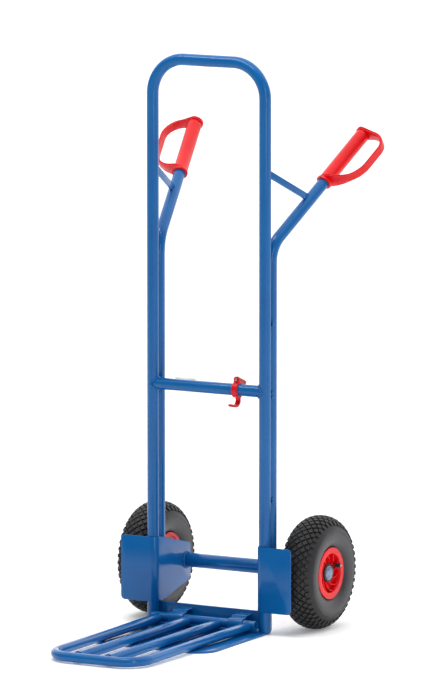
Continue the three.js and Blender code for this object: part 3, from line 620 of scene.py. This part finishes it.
def makeStrap(node, name):
    low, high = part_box(node)
    width = high.x - low.x
    middle = (high.x + low.x) / 2
    radius = strapSize["inside"] + strapSize["thickness"]
    top = high.z
    stepY = hingeY + strapSize["stepAt"]
    points = [(middle, high.y, top), (middle, stepY, top),
              (middle, stepY - strapSize["stepRun"], top - strapSize["step"]), (middle, hingeY, hingeZ + radius)]
    for i in range(1, strapSize["arcSteps"] + 1):
        angle = math.pi / 2 * i / strapSize["arcSteps"]
        points.append((middle, hingeY - radius * math.sin(angle), hingeZ + radius * math.cos(angle)))
    points.append((middle, hingeY - radius, low.z))
    strap = makeStrip(name, points, width)
    edit(strap)
    cleanUp()
    faceTowards(strap, (0, -1, 1))
    useModifier(strap, "SOLIDIFY", thickness=strapSize["thickness"], offset=-1, use_even_offset=True)
    softenEdges(strap, 0.0006, 2, 25)
    shadeSmooth(strap)
    giveFinish(strap, bluePaint, "frame", "blue_sheet", node)


makeStrap("right_hinge_strap", "rightHingeStrap")
makeStrap("left_hinge_strap", "leftHingeStrap")
print("hand truck: frame built")


# folding toe: a bent tube and two bars welded to the hinge pipe
toeSize = {"diameter": 0.022, "wall": 0.002, "bend": 0.057, "hingeDiameter": 0.021, "hingeWall": 0.0025,
           "rearLap": 0.002, "frontLap": 0.003}
toeRearZ = toeHigh.z - toeTubeHalf


def makeFoldingToe():
    rear = hingeY - toeSize["rearLap"]
    corners = [(-toeLegX, rear, toeRearZ), (-toeLegX, toeFrontY, toeFrontZ), (toeLegX, toeFrontY, toeFrontZ),
               (toeLegX, rear, toeRearZ)]
    hoop = makeTube("toeHoop", corners, toeSize["bend"], toeSize["diameter"], toeSize["wall"], 36, 24)
    giveFinish(hoop, bluePaint, "folding_toe", "blue_tube", "toe_hoop")
    for name, node, x in (("rightToeBar", "toe_bar_right", toeBarX), ("leftToeBar", "toe_bar_left", -toeBarX)):
        bar = makeTube(name, [(x, rear, toeRearZ), (x, toeFrontY + toeSize["frontLap"], toeFrontZ)], 0,
                       toeSize["diameter"], toeSize["wall"], 36)
        giveFinish(bar, bluePaint, "folding_toe", "blue_tube", node)
    pipe = makeTube("hingePipe", [(hingeLow.x, hingeY, hingeZ), (hingeHigh.x, hingeY, hingeZ)], 0,
                    toeSize["hingeDiameter"], toeSize["hingeWall"], 36)
    giveFinish(pipe, bluePaint, "folding_toe", "blue_tube", "hinge_tube")


makeFoldingToe()


# grips: modelled upright about the handle axis and then laid along it
gripSize = {"start": 0.214, "length": 0.171, "reach": 0.074, "thickness": 0.0066, "band": 0.0175, "end": 0.035,
            "topEnd": 0.0375, "topWidth": 1.25, "rise": 0.010, "sweep": 0.074, "topCorner": 0.045, "sleeve": 0.0162,
            "bore": 0.0136, "rim": 0.0014, "groove": 0.0027}


def bandSection(half, thick):  # flat band with a groove between two rims along each edge
    floor, groove = half - gripSize["rim"], gripSize["groove"]
    side = [(half - 0.0004, 0), (half, 0.0004), (half, 0.0021), (floor, groove), (floor, thick - groove),
            (half, thick - 0.0021), (half, thick - 0.0004), (half - 0.0004, thick)]
    return side + [(-y, n) for y, n in reversed(side)]


def makeGrip():
    thick = gripSize["thickness"]
    inner = -gripSize["end"] / 2
    half = gripSize["band"] / 2
    band = makeLoop("rightGrip", [Vector((inner, y, n)) for y, n in bandSection(half, thick)])
    edit(band)
    bpy.ops.mesh.edge_face_add()
    place = Vector((inner, 0, 0))
    factor = [1.0]

    def widen(target):  # scales the open end across the band
        share = target / factor[0]
        bpy.ops.transform.resize(value=(1, share, 1), center_override=place)
        factor[0] = target

    endFactor = gripSize["end"] / gripSize["band"]
    widen(endFactor * 0.22)
    for x in (-0.0175, -0.0145, -0.010, -0.005, 0.0):
        extrude((x - place.x, 0, 0))
        place.x = x
        widen(endFactor * math.sqrt(max(0.05, 1 - (x / inner) ** 2)))
    steps = 18
    sweep = gripSize["sweep"]
    for i in range(1, steps + 1):
        spin(-math.pi / 2 / steps, (0, 0, sweep), (0, 1, 0), 1)
        angle = math.pi / 2 * i / steps
        place.x = sweep * math.sin(angle)
        place.z = sweep * (1 - math.cos(angle))
        widen(max(1.0, endFactor + (1 - endFactor) * max(0, place.x - 0.014) / 0.040))
    straight = gripSize["length"] - gripSize["topCorner"] - sweep
    extrude((0, 0, straight))
    place.z += straight
    corner = gripSize["topCorner"]
    for i in range(1, 11):
        spin(-math.pi / 2 / 10, (gripSize["reach"] - corner, 0, gripSize["length"] - corner), (0, 1, 0), 1)
        angle = math.pi / 2 * i / 10
        place.x = gripSize["reach"] - corner + corner * math.cos(angle)
        place.z = gripSize["length"] - corner + corner * math.sin(angle)
        widen(1.0 + (gripSize["topWidth"] - 1.0) * max(0, i - 3) / 7)
    endFactor = gripSize["topEnd"] / gripSize["band"]
    inner = -gripSize["topEnd"] / 2
    topRun = gripSize["reach"] - corner
    for x in (0.020, 0.010, 0.0):
        extrude((x - place.x, 0, 0))
        place.x = x
        widen(gripSize["topWidth"] + (endFactor - gripSize["topWidth"]) * (topRun - x) / topRun)
    for x in (-0.005, -0.010, -0.0145, -0.0175, -0.0185):
        extrude((x - place.x, 0, 0))
        place.x = x
        widen(endFactor * max(0.22, math.sqrt(max(0.0, 1 - (x / inner) ** 2))))
    cleanUp()
    for vertex in band.data.vertices:  # the foot of the band rises away from the tube
        share = min(1, max(0, (vertex.co.x + 0.016) / 0.030))
        share = share * share * (3 - 2 * share)
        vertex.co.z += gripSize["rise"] * share * max(0, 1 - vertex.co.z / gripSize["length"])
    profile = [(0.0005, gripSize["bore"]), (0.166, gripSize["bore"]), (0.166, gripSize["sleeve"]),
               (0.150, gripSize["sleeve"]), (0.010, gripSize["sleeve"]), (0.0062, gripSize["sleeve"] + 0.0012),
               (0.0048, gripSize["sleeve"] + 0.0024), (0.0005, gripSize["sleeve"] + 0.0020)]
    sleeve = makeLoop("gripSleeve", [Vector((radius, 0, z)) for z, radius in profile])
    edit(sleeve)
    spin(2 * math.pi, (0, 0, 0), (0, 0, 1), 64)
    cleanUp()
    clearSelection()
    bpy.ops.mesh.primitive_circle_add(vertices=64, radius=gripSize["sleeve"] - 0.001, fill_type="NGON",
                                      location=(0, 0, gripSize["length"] - 0.0005))
    lid = namePiece("gripLid")
    fixPlace(lid)
    edit(lid)
    extrude((0, 0, 0.0008))
    bpy.ops.mesh.inset(thickness=0.002)
    bpy.ops.transform.translate(value=(0, 0, 0.0006))
    cleanUp()
    grip = joinPieces("rightGrip", [band, sleeve, lid])
    outward = (Vector((1, 0, 0)) - handleRun * handleRun.x).normalized()
    across = handleRun.cross(outward)
    grip.matrix_world = Matrix.Translation(handleCorner + handleRun * gripSize["start"]) @ Matrix(
        (outward, across, handleRun)).transposed().to_4x4()
    fixPlace(grip)
    softenEdges(grip, 0.0003, 2, 55)
    shadeSmooth(grip, 40)
    other = mirroredCopy(grip, "leftGrip")
    giveFinish(grip, redGrip, "frame", "red_grip", "right_grip")
    giveFinish(other, redGrip, "frame", "red_grip", "left_grip")


makeGrip()
print("hand truck: toe and grips built")


# catch hook: ring, tail, ear and thumb tab of one moulding; lines are (back, up) from the crossbar or the rivet
hookSize = {"width": 0.0142, "outside": 0.0180, "bore": 0.01395, "tailWidth": 0.0115, "tailThick": 0.0052,
            "earRadius": 0.0074, "earThick": 0.0070, "tabWidth": 0.0118, "tabThick": 0.0080, "voxel": 0.0007,
            "tail": [(0.0015, -0.0145), (0.0036, -0.0222), (0.002, -0.0292), (-0.005, -0.0347), (-0.014, -0.0356),
                     (-0.024, -0.0336), (-0.0365, -0.0300)],
            "tab": [(-0.003, 0.0015), (0.006, -0.0016), (0.016, -0.0052), (0.024, -0.0085), (0.0290, -0.0125)]}


def makeHook():
    low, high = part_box("catch_hook")
    x = (low.x + high.x) / 2
    half = hookSize["width"] / 2
    ring = turnProfile("catchHook", [(-half, hookSize["bore"]), (-half, hookSize["outside"]),
                                     (half, hookSize["outside"]), (half, hookSize["bore"])], Vector((x, 0, crossZ)), 64)
    line = smoothLine([(x, y, crossZ + z) for y, z in hookSize["tail"]], 4)
    last = len(line) - 1
    tail = makeStrip("hookTail", line, hookSize["tailWidth"],
                     {last: 0.5, last - 1: 0.8, last - 2: 0.95, 0: 1.3, 1: 1.2, 2: 1.1})
    edit(tail)
    cleanUp()
    useModifier(tail, "SOLIDIFY", thickness=hookSize["tailThick"], offset=0, use_even_offset=True)
    rivetLow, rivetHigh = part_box("hook_rivet")
    rivetZ = (rivetLow.z + rivetHigh.z) / 2
    ear = makeStrip("hookEar", [(x, -0.0024, crossZ + 0.012), (x, -0.0024, crossZ + 0.018), (x, -0.0024, rivetZ)],
                    hookSize["width"], {2: 0.84})
    useModifier(ear, "SOLIDIFY", thickness=hookSize["earThick"], offset=0)
    clearSelection()
    bpy.ops.mesh.primitive_circle_add(vertices=40, radius=hookSize["earRadius"], fill_type="NGON",
                                      location=(x, -0.0059, rivetZ), rotation=(math.pi / 2, 0, 0))
    top = namePiece("hookEarTop")
    fixPlace(top)
    edit(top)
    extrude((0, hookSize["earThick"], 0))
    cleanUp()
    tabLine = smoothLine([(x, y, rivetZ + z) for y, z in hookSize["tab"]], 4)
    tab = makeStrip("hookTab", tabLine, hookSize["tabWidth"])
    edit(tab)
    cleanUp()
    useModifier(tab, "SOLIDIFY", thickness=hookSize["tabThick"], offset=0, use_even_offset=True)
    hook = joinPieces("catchHook", [ring, tail, ear, top, tab])
    useModifier(hook, "REMESH", mode="VOXEL", voxel_size=hookSize["voxel"])
    useModifier(hook, "SMOOTH", factor=0.5, iterations=4)
    clearSelection()
    hook.select_set(True)
    bpy.ops.object.shade_smooth()
    giveFinish(hook, redHookPlastic, "hook", "red_hook", "catch_hook")
    rivet = turnProfile("hookRivetHead", [(-0.0035, 0), (-0.0035, 0.0008), (-0.0031, 0.0022), (-0.0022, 0.0031),
                                          (-0.0008, 0.0035), (0, 0.0035), (0, 0.0018), (0.0078, 0.0018), (0.0078, 0)],
                        Vector((0, 0, 0)), 32)
    rivet.matrix_world = Matrix.Translation((x, -0.0062, rivetZ)) @ Matrix.Rotation(math.pi / 2, 4, "Z")
    fixPlace(rivet)
    shadeSmooth(rivet, 50)
    giveFinish(rivet, zinc, "hook", "zinc_steel", "hook_rivet")


makeHook()
print("hand truck: hook built")


# tyre carcass: an open ring with beads at the rim, turned from its section
tyreSize = {"radius": 0.1285, "bead": 0.0543, "tread": 0.0040, "wall": 0.006}


def makeTyre():
    bead = tyreSize["bead"]
    crown = tyreSize["radius"] - tyreSize["tread"]
    right = [(0.0310, bead), (0.0306, 0.0590), (0.0322, 0.0606), (0.0368, 0.0650), (0.0392, 0.0690), (0.0408, 0.0735),
             (0.0419, 0.0790), (0.0425, 0.0850), (0.0424, 0.0900), (0.0419, 0.0940), (0.0416, 0.0962), (0.0421, 0.0972),
             (0.0415, 0.0984), (0.0402, 0.1010), (0.0382, 0.1050), (0.0340, 0.1098), (0.0272, 0.1158), (0.0205, 0.1203),
             (0.0140, 0.1228), (0.0070, crown - 0.0002)]
    inner = [(x - tyreSize["wall"], radius - tyreSize["wall"] * 0.9) for x, radius in right[3::3]]
    mirror = [(-x, radius) for x, radius in reversed(right)]
    innerMirror = [(-x, radius) for x, radius in inner]
    profile = [*right, (0, crown), *mirror, (-0.0255, bead), *innerMirror, (0, crown - 0.006), *reversed(inner),
               (0.0255, bead)]
    return turnProfile("rightTyre", profile, wheelCentre, 120)


# tread blocks: each row is its sideways place, the radius of the block tops and the lean towards the side in degrees
blockSize = {"side": 0.0106, "depth": 0.0050, "copies": 44, "lugAcross": 0.0125, "lugAround": 0.0090, "taper": 0.9,
             "rows": [(0.0, 0.1284, 0), (0.0093, 0.1277, 8), (0.0184, 0.1251, 18), (0.0268, 0.1206, 32),
                      (0.0338, 0.1142, 46)]}


def makeTread():
    blocks = []
    copies = blockSize["copies"]
    step = 2 * math.pi / copies
    rows = blockSize["rows"]
    places = [(x * side, radius, lean * side, index) for index, (x, radius, lean) in enumerate(rows)
              for side in ((1, -1) if x else (1,))]
    for x, radius, lean, index in places:
        last = index == len(rows) - 1
        across = blockSize["lugAcross"] if last else blockSize["side"]
        around = blockSize["lugAround"] if last else blockSize["side"] * radius / rows[0][1]
        clearSelection()
        bpy.ops.mesh.primitive_cube_add(size=1)
        block = namePiece("treadBlock")
        block.scale = (across, around, blockSize["depth"] + 0.001)
        fixPlace(block)
        edit(block, lambda co: co.z > 0)
        bpy.ops.transform.resize(value=(blockSize["taper"], blockSize["taper"], 1), center_override=(0, 0, 0))
        bpy.ops.mesh.select_all(action="SELECT")
        bpy.ops.mesh.bevel(offset=0.0005, segments=1, affect="EDGES")
        bpy.ops.object.mode_set(mode="OBJECT")
        turn = 0 if last else 45  # diamonds on the crown, straight lugs at the shoulder
        block.matrix_world = (Matrix.Translation(wheelCentre) @ Matrix.Rotation((index % 2) * step / 2, 4, "X")
                              @ Matrix.Translation((x, 0, radius)) @ Matrix.Rotation(math.radians(lean), 4, "Y")
                              @ Matrix.Rotation(math.radians(turn), 4, "Z")
                              @ Matrix.Translation((0, 0, -blockSize["depth"] / 2)))
        fixPlace(block)
        edit(block)
        bpy.ops.mesh.spin(steps=copies - 1, dupli=True, angle=step * (copies - 1), center=wheelCentre, axis=(1, 0, 0))
        bpy.ops.object.mode_set(mode="OBJECT")
        blocks.append(block)
    return blocks


# rim: a dished ring with a hub, and swept ribs that are low at the hub and high at the outer ring
rimSize = {"ribs": 10, "ribStart": 0.0214, "ribLength": 0.0236, "sweep": 0.62, "hubHeight": 0.0042,
           "ringHeight": 0.0120, "ribThick": 0.0022, "dish": 0.0196}


def makeRim():
    profile = [(0.0347, 0.0586), (0.0340, 0.0589), (0.0322, 0.0588), (0.0317, 0.0584), (0.0317, 0.0540),
               (-0.0317, 0.0540), (-0.0317, 0.0586), (-0.0347, 0.0586), (-0.0347, 0.0500), (-0.0316, 0.0490),
               (-0.0316, 0.0230), (-0.0330, 0.0220), (-0.0330, 0.0164), (0.0245, 0.0164), (0.0245, 0.0214),
               (0.0239, 0.0220), (0.0200, 0.0226), (0.0200, 0.0432), (0.0206, 0.0440), (0.0338, 0.0444),
               (0.0347, 0.0452), (0.0347, 0.0500)]
    rim = turnProfile("rightRim", profile, wheelCentre, 96)
    count = rimSize["ribs"]
    line = []
    shares = []
    for i in range(9):
        radius = rimSize["ribStart"] + rimSize["ribLength"] * i / 8
        swing = rimSize["sweep"] * (i / 8) ** 1.6
        height = rimSize["hubHeight"] + (rimSize["ringHeight"] - rimSize["hubHeight"]) * (i / 8) ** 0.8
        shares.append(height / rimSize["ringHeight"])
        place = Vector((rimSize["dish"] + height / 2, radius * math.cos(swing), radius * math.sin(swing)))
        line.append(place + wheelCentre)
    rib = makeStrip("rimRib", line, rimSize["ringHeight"])
    edit(rib)
    cleanUp()
    for vertex in rib.data.vertices:  # the strip's own width follows its height
        index = min(range(len(line)), key=lambda i: (vertex.co - line[i]).yz.length)
        vertex.co.x = line[index].x + (vertex.co.x - line[index].x) * shares[index]
    useModifier(rib, "SOLIDIFY", thickness=rimSize["ribThick"], offset=0)
    softenEdges(rib, 0.0005, 2, 50)
    edit(rib)
    bpy.ops.mesh.spin(steps=count - 1, dupli=True, angle=2 * math.pi * (count - 1) / count, center=wheelCentre,
                      axis=(1, 0, 0))
    bpy.ops.object.mode_set(mode="OBJECT")
    return joinPieces("rightRim", [rim, rib])


capSize = {"bore": 0.0104, "lip": 0.0172, "edge": 0.0212, "proud": 0.0012, "domeShare": 0.92}  # black ring and zinc cap


def makeCap():
    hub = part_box("right_cap_ring")
    front = hub[1].x + capSize["proud"]
    profile = [(hub[0].x, capSize["bore"]), (hub[1].x, capSize["bore"]), (front, capSize["lip"]),
               (front, capSize["edge"] - 0.0012), (hub[1].x, capSize["edge"] - 0.0003),
               (hub[0].x + 0.0004, capSize["edge"]), (hub[0].x, capSize["edge"] - 0.0004)]
    ring = turnProfile("rightCapRing", profile, Vector((0, axleY, axleZ)), 64)
    low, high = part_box("right_axle_cap")
    radius = (high.z - low.z) / 2 * capSize["domeShare"]
    rise = high.x - low.x - 0.0006
    angles = [math.pi / 2 * i / 10 for i in range(11)]
    dome = [(low.x + 0.0006 + rise * math.cos(angle) ** 0.8, radius * math.sin(angle)) for angle in angles]
    cap = turnProfile("rightAxleCap", [*dome, (low.x, radius), (low.x, radius - 0.0016), (low.x + 0.0010, 0)],
                      Vector((0, axleY, axleZ)), 64)
    return [(ring, blackMoulding, "frame", "black_rubber", "cap_ring"), (cap, zinc, "frame", "zinc_steel", "axle_cap")]


valveSize = {"stem": 0.0034, "neck": 0.0028, "capShorter": 0.0026}  # a stem through the rim and its screwed dust cap


def makeValve():
    stemLow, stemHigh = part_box("right_valve_stem")
    valveY, valveZ = (stemLow.y + stemHigh.y) / 2, (stemLow.z + stemHigh.z) / 2
    profile = [(stemLow.x, 0), (stemLow.x, valveSize["stem"]), (stemLow.x + 0.004, valveSize["stem"]),
               (stemLow.x + 0.005, valveSize["stem"] - 0.0003), (stemHigh.x, valveSize["neck"]), (stemHigh.x, 0)]
    stem = turnProfile("rightValveStem", profile, Vector((0, valveY, valveZ)), 24)
    capLow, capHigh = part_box("right_valve_cap")
    length = capHigh.x - capLow.x - valveSize["capShorter"]
    end = capLow.x + length
    profile = [(capLow.x, 0.0032), (capLow.x, 0.0046), (capLow.x + 0.0012, 0.0049), (capLow.x + 0.0022, 0.0046),
               (capLow.x + length * 0.75, 0.0045), (capLow.x + length * 0.82, 0.0041), (end - 0.0008, 0.0040),
               (end, 0.0033), (end, 0), (end - 0.0016, 0), (end - 0.0016, 0.0032)]
    top = turnProfile("rightValveCap", profile, Vector((0, valveY, valveZ)), 24)
    return [(stem, steel, "wheel", "bearing_steel", "valve_stem"),
            (top, blackMoulding, "wheel", "black_rubber", "valve_cap")]


def makeWheels():
    carcass = makeTyre()
    shadeSmooth(carcass, 30)
    tyre = joinPieces("rightTyre", [carcass, *makeTread()])
    rim = makeRim()
    softenEdges(rim, 0.0004, 2, 50)
    shadeSmooth(rim, 40)
    parts = [(tyre, tyreBlack, "wheel", "tyre", "tyre"), (rim, redRimPlastic, "wheel", "red_rim", "rim")]
    parts += makeCap() + makeValve()
    for piece, material, body, slot, node in parts:
        if piece not in (tyre, rim):
            shadeSmooth(piece, 40)
        other = mirroredCopy(piece, piece.name.replace("right", "left"))
        for side, item in (("right", piece), ("left", other)):
            giveFinish(item, material, "frame" if body == "frame" else side + "_wheel", slot, side + "_" + node)


makeWheels()
print("hand truck: wheels built")


# weld beads: rippled runs where the tubes and sheets meet, and round spots beside the uprights
weldSize = {"ripple": 0.0032, "swell": 0.13, "crossbar": 0.0025, "axle": 0.0026, "axleRadius": 0.0172, "spot": 0.0030,
            "strut": 0.0013, "strapSide": 0.0022, "strapRear": 0.0020, "barFront": 0.0016, "barRear": 0.0018,
            "spotHeights": (0.300, 0.306, 0.700, 0.706, 0.5365, 0.5485)}


def makeBead(points, thickness, closed=False):
    curve = bpy.data.curves.new("bead", "CURVE")
    curve.dimensions = "3D"
    curve.bevel_depth = 1.0
    curve.bevel_resolution = 3
    curve.use_fill_caps = True
    spline = curve.splines.new("POLY")
    spline.points.add(len(points) - 1)
    spline.use_cyclic_u = closed
    travelled = 0
    for i, (item, point) in enumerate(zip(spline.points, points)):
        if i:
            travelled += (Vector(point) - Vector(points[i - 1])).length
        item.co = (*point, 1)
        end = 1.0 if closed else min(1.0, 0.45 + 0.3 * min(i, len(points) - 1 - i))
        item.radius = thickness * end * (1 + weldSize["swell"] * math.sin(2 * math.pi * travelled / weldSize["ripple"]))
    bead = bpy.data.objects.new("bead", curve)
    bpy.context.scene.collection.objects.link(bead)
    clearSelection()
    bead.select_set(True)
    bpy.context.view_layer.objects.active = bead
    bpy.ops.object.convert(target="MESH")
    return namePiece("bead")


def circlePoints(centre, axis, radius, step=0.0008):
    axis = Vector(axis).normalized()
    side = axis.orthogonal().normalized()
    other = axis.cross(side)
    count = max(8, int(radius * 2 * math.pi / step))
    angles = [2 * math.pi * i / count for i in range(count)]
    return [Vector(centre) + (side * math.cos(angle) + other * math.sin(angle)) * radius for angle in angles]


def saddlePoints(x, sign, z, radius):  # where a cross tube meets an upright of the same size
    points = []
    for i in range(100):
        angle = 2 * math.pi * i / 100
        y, up = radius * math.cos(angle), radius * math.sin(angle)
        points.append(Vector((x - sign * math.sqrt(max(0, radius ** 2 - y ** 2)), y * 1.01, z + up)))
    return points


def makeWelds():
    radius = frameTube["diameter"] / 2
    beads = []
    for sign in (1, -1):
        beads.append(makeBead(saddlePoints(sign * uprightX, sign, crossZ, radius * 1.03), weldSize["crossbar"], True))
        plateX = sign * (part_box("right_wheel_guard")[0].x - 0.0004)
        ring = circlePoints((plateX, axleY, axleZ), (1, 0, 0), weldSize["axleRadius"])
        beads.append(makeBead(ring, weldSize["axle"], True))
        for z in weldSize["spotHeights"]:
            spot = [Vector((sign * (uprightX + 0.0118), 0.0100 + 0.0012 * i, z)) for i in range(7)]
            beads.append(makeBead(spot, weldSize["spot"]))
    top = Vector((uprightX, 0, frameTop - strutSize["drop"]))
    bottom = handleCorner + handleRun * strutSize["reach"]
    along = (bottom - top).normalized()
    across = along.cross(Vector((1, 0, 0))).normalized()
    for sign in (1, -1):
        for point in (top + along * 0.0135, bottom - along * 0.0135):
            for side in (-1, 1):
                line = [point + across * (-0.006 + 0.0015 * i) + Vector((side * 0.0032, 0, 0)) for i in range(9)]
                beads.append(makeBead([Vector((sign * p.x, p.y, p.z)) for p in line], weldSize["strut"]))
    for node in ("right_hinge_strap", "left_hinge_strap"):
        low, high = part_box(node)
        for x in (low.x + 0.001, high.x - 0.001):
            line = [Vector((x, high.y - 0.0015 - 0.0012 * i, high.z - 0.0005)) for i in range(8)]
            beads.append(makeBead(line, weldSize["strapSide"]))
        line = [Vector((low.x + 0.002 + 0.0012 * i, high.y + 0.0002, high.z - 0.0008))
                for i in range(int((high.x - low.x - 0.004) / 0.0012))]
        beads.append(makeBead(line, weldSize["strapRear"]))
    welds = joinPieces("frameWelds", beads)
    shadeSmooth(welds, 60)
    giveFinish(welds, bluePaint, "frame", "blue_tube")
    beads = []
    toeRadius = toeSize["diameter"] / 2
    for x in (-toeBarX, toeBarX):
        line = circlePoints((x, toeFrontY + toeRadius * 0.93, toeFrontZ + 0.001), (0, 1, 0), toeRadius * 1.02)
        beads.append(makeBead(line, weldSize["barFront"], True))
    for x in (-toeLegX, -toeBarX, toeBarX, toeLegX):
        line = []
        for i in range(26):
            angle = math.pi * i / 25
            line.append(Vector((x + toeRadius * math.cos(angle), hingeY - 0.0098 + 0.008 * math.sin(angle),
                                toeRearZ + 0.0005 + toeRadius * math.sin(angle))))
        beads.append(makeBead(line, weldSize["barRear"]))
    welds = joinPieces("toeWelds", beads)
    shadeSmooth(welds, 60)
    giveFinish(welds, bluePaint, "folding_toe", "blue_tube")


makeWelds()


# blank rating plate behind the crossbar
labelSize = {"above": 0.0150, "below": 0.0120, "corner": 0.003, "thickness": 0.0008}


def makeLabel():
    low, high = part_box("rating_plate")
    bottom, top = crossZ - labelSize["below"], crossZ + labelSize["above"]
    clearSelection()
    bpy.ops.mesh.primitive_plane_add(size=1, location=((low.x + high.x) / 2, (low.y + high.y) / 2, (bottom + top) / 2),
                                     rotation=(math.pi / 2, 0, 0))
    plate = namePiece("blankRatingPlate")
    plate.scale = (high.x - low.x, top - bottom, 1)
    fixPlace(plate)
    edit(plate)
    bpy.ops.mesh.bevel(offset=labelSize["corner"], segments=5, affect="VERTICES")
    bpy.ops.object.mode_set(mode="OBJECT")
    useModifier(plate, "SOLIDIFY", thickness=labelSize["thickness"], offset=0)
    softenEdges(plate, 0.0002, 2, 50)
    shadeSmooth(plate)
    giveFinish(plate, labelBlank, "frame", "pale_label", "rating_plate")


makeLabel()


def finishKeptNodes():  # the inner hardware stays as packed and only gets its finish
    finishes = {"axle": zinc, "axle_spacer": zinc, "axle_washer": zinc, "axle_bush": steel, "inner_bearing": steel,
                "outer_bearing": steel, "inner_tube": blackMoulding}
    for name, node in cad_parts.items():
        if node.hide_render:
            continue
        plain = name.replace("right_", "").replace("left_", "")
        node.data.materials.clear()
        node.data.materials.append(finishes[plain])


finishKeptNodes()
print("hand truck: welds and kept nodes done")


# white paper studio: dim in front, bright behind, a wide soft sun from behind and two soft boxes
studio = {"front": 0.16, "behind": 0.90, "top": 0.80, "sun": 1.9, "sunAngle": 120, "floorGlow": 0.16, "topBox": 26,
          "sideBox": 22, "paper": "#F8F8F8", "nearPaper": "#B4B4B4"}


def makeStudio():
    clearSelection()
    bpy.ops.mesh.primitive_plane_add(size=120, location=(0, 0, plateLow.z - 0.0002))
    floor = namePiece("studioFloor")
    material, tree, shader, where = startMaterial("floorPaper")
    split = addNode(tree, "ShaderNodeSeparateXYZ", {"Vector": where})
    near = addNode(tree, "ShaderNodeMapRange", {"Value": split.outputs["Y"], "From Min": -2.6, "From Max": -1.0})
    paper = addNode(tree, "ShaderNodeValToRGB", {"Fac": near.outputs["Result"]},
                    [(0.0, studio["nearPaper"]), (1.0, studio["paper"])])
    plugIn(tree, shader, {"Base Color": paper.outputs["Color"], "Roughness": 0.9, "Emission Color": (1, 1, 1, 1),
                          "Emission Strength": studio["floorGlow"]})
    floor.data.materials.append(material)
    world = bpy.data.worlds.new("studioWorld")
    bpy.context.scene.world = world
    world.use_nodes = True
    tree = world.node_tree
    way = addNode(tree, "ShaderNodeSeparateXYZ",
                  {"Vector": addNode(tree, "ShaderNodeTexCoord").outputs["Generated"]}).outputs
    depth = addNode(tree, "ShaderNodeMapRange", {"Value": way["Y"], "From Min": -0.5, "From Max": 0.8,
                                                 "To Min": studio["front"],
                                                 "To Max": studio["behind"]}).outputs["Result"]
    height = addNode(tree, "ShaderNodeMapRange", {"Value": way["Z"], "From Min": 0.45, "From Max": 1.0,
                                                  "To Min": 0.0, "To Max": 1.0}).outputs["Result"]
    level = addNode(tree, "ShaderNodeMix", {"Factor": height, "A": depth, "B": studio["top"]}, data_type="FLOAT")
    tree.links.new(level.outputs["Result"], tree.nodes["Background"].inputs["Strength"])
    tree.nodes["Background"].inputs["Color"].default_value = (1, 1, 1, 1)
    sun = bpy.data.lights.new("softSun", "SUN")
    sun.energy = studio["sun"]
    sun.angle = math.radians(studio["sunAngle"])
    lamp = bpy.data.objects.new("softSun", sun)
    lamp.rotation_euler = Vector((-0.25, 0.55, 1)).to_track_quat("Z", "Y").to_euler()
    bpy.context.scene.collection.objects.link(lamp)
    for name, place, size, power in (("topBox", (-0.3, -0.9, 3.0), (2.0, 0.5), studio["topBox"]),
                                     ("sideBox", (3.0, -2.4, 1.5), (0.5, 2.2), studio["sideBox"])):
        light = bpy.data.lights.new(name, "AREA")
        light.shape = "RECTANGLE"
        light.size, light.size_y = size
        light.energy = power
        lamp = bpy.data.objects.new(name, light)
        lamp.location = place
        lamp.rotation_euler = (Vector((0, 0, 0.9)) - Vector(place)).to_track_quat("-Z", "Y").to_euler()
        bpy.context.scene.collection.objects.link(lamp)
    bpy.context.scene.view_settings.view_transform = "Standard"


cameraPlace = {"location": (8.1755, -14.3321, 2.9841), "pitch": 81.8965, "yaw": 29.5872, "lens": 382.03}


def makeCamera():
    lens = bpy.data.cameras.new("mainCamera")
    lens.sensor_width = 36
    lens.lens = cameraPlace["lens"]
    lens.clip_end = 200
    camera = bpy.data.objects.new("mainCamera", lens)
    camera.location = cameraPlace["location"]
    camera.rotation_euler = (math.radians(cameraPlace["pitch"]), 0, math.radians(cameraPlace["yaw"]))
    bpy.context.scene.collection.objects.link(camera)
    bpy.context.scene.camera = camera


makeStudio()
makeCamera()

print("hand truck: ready")
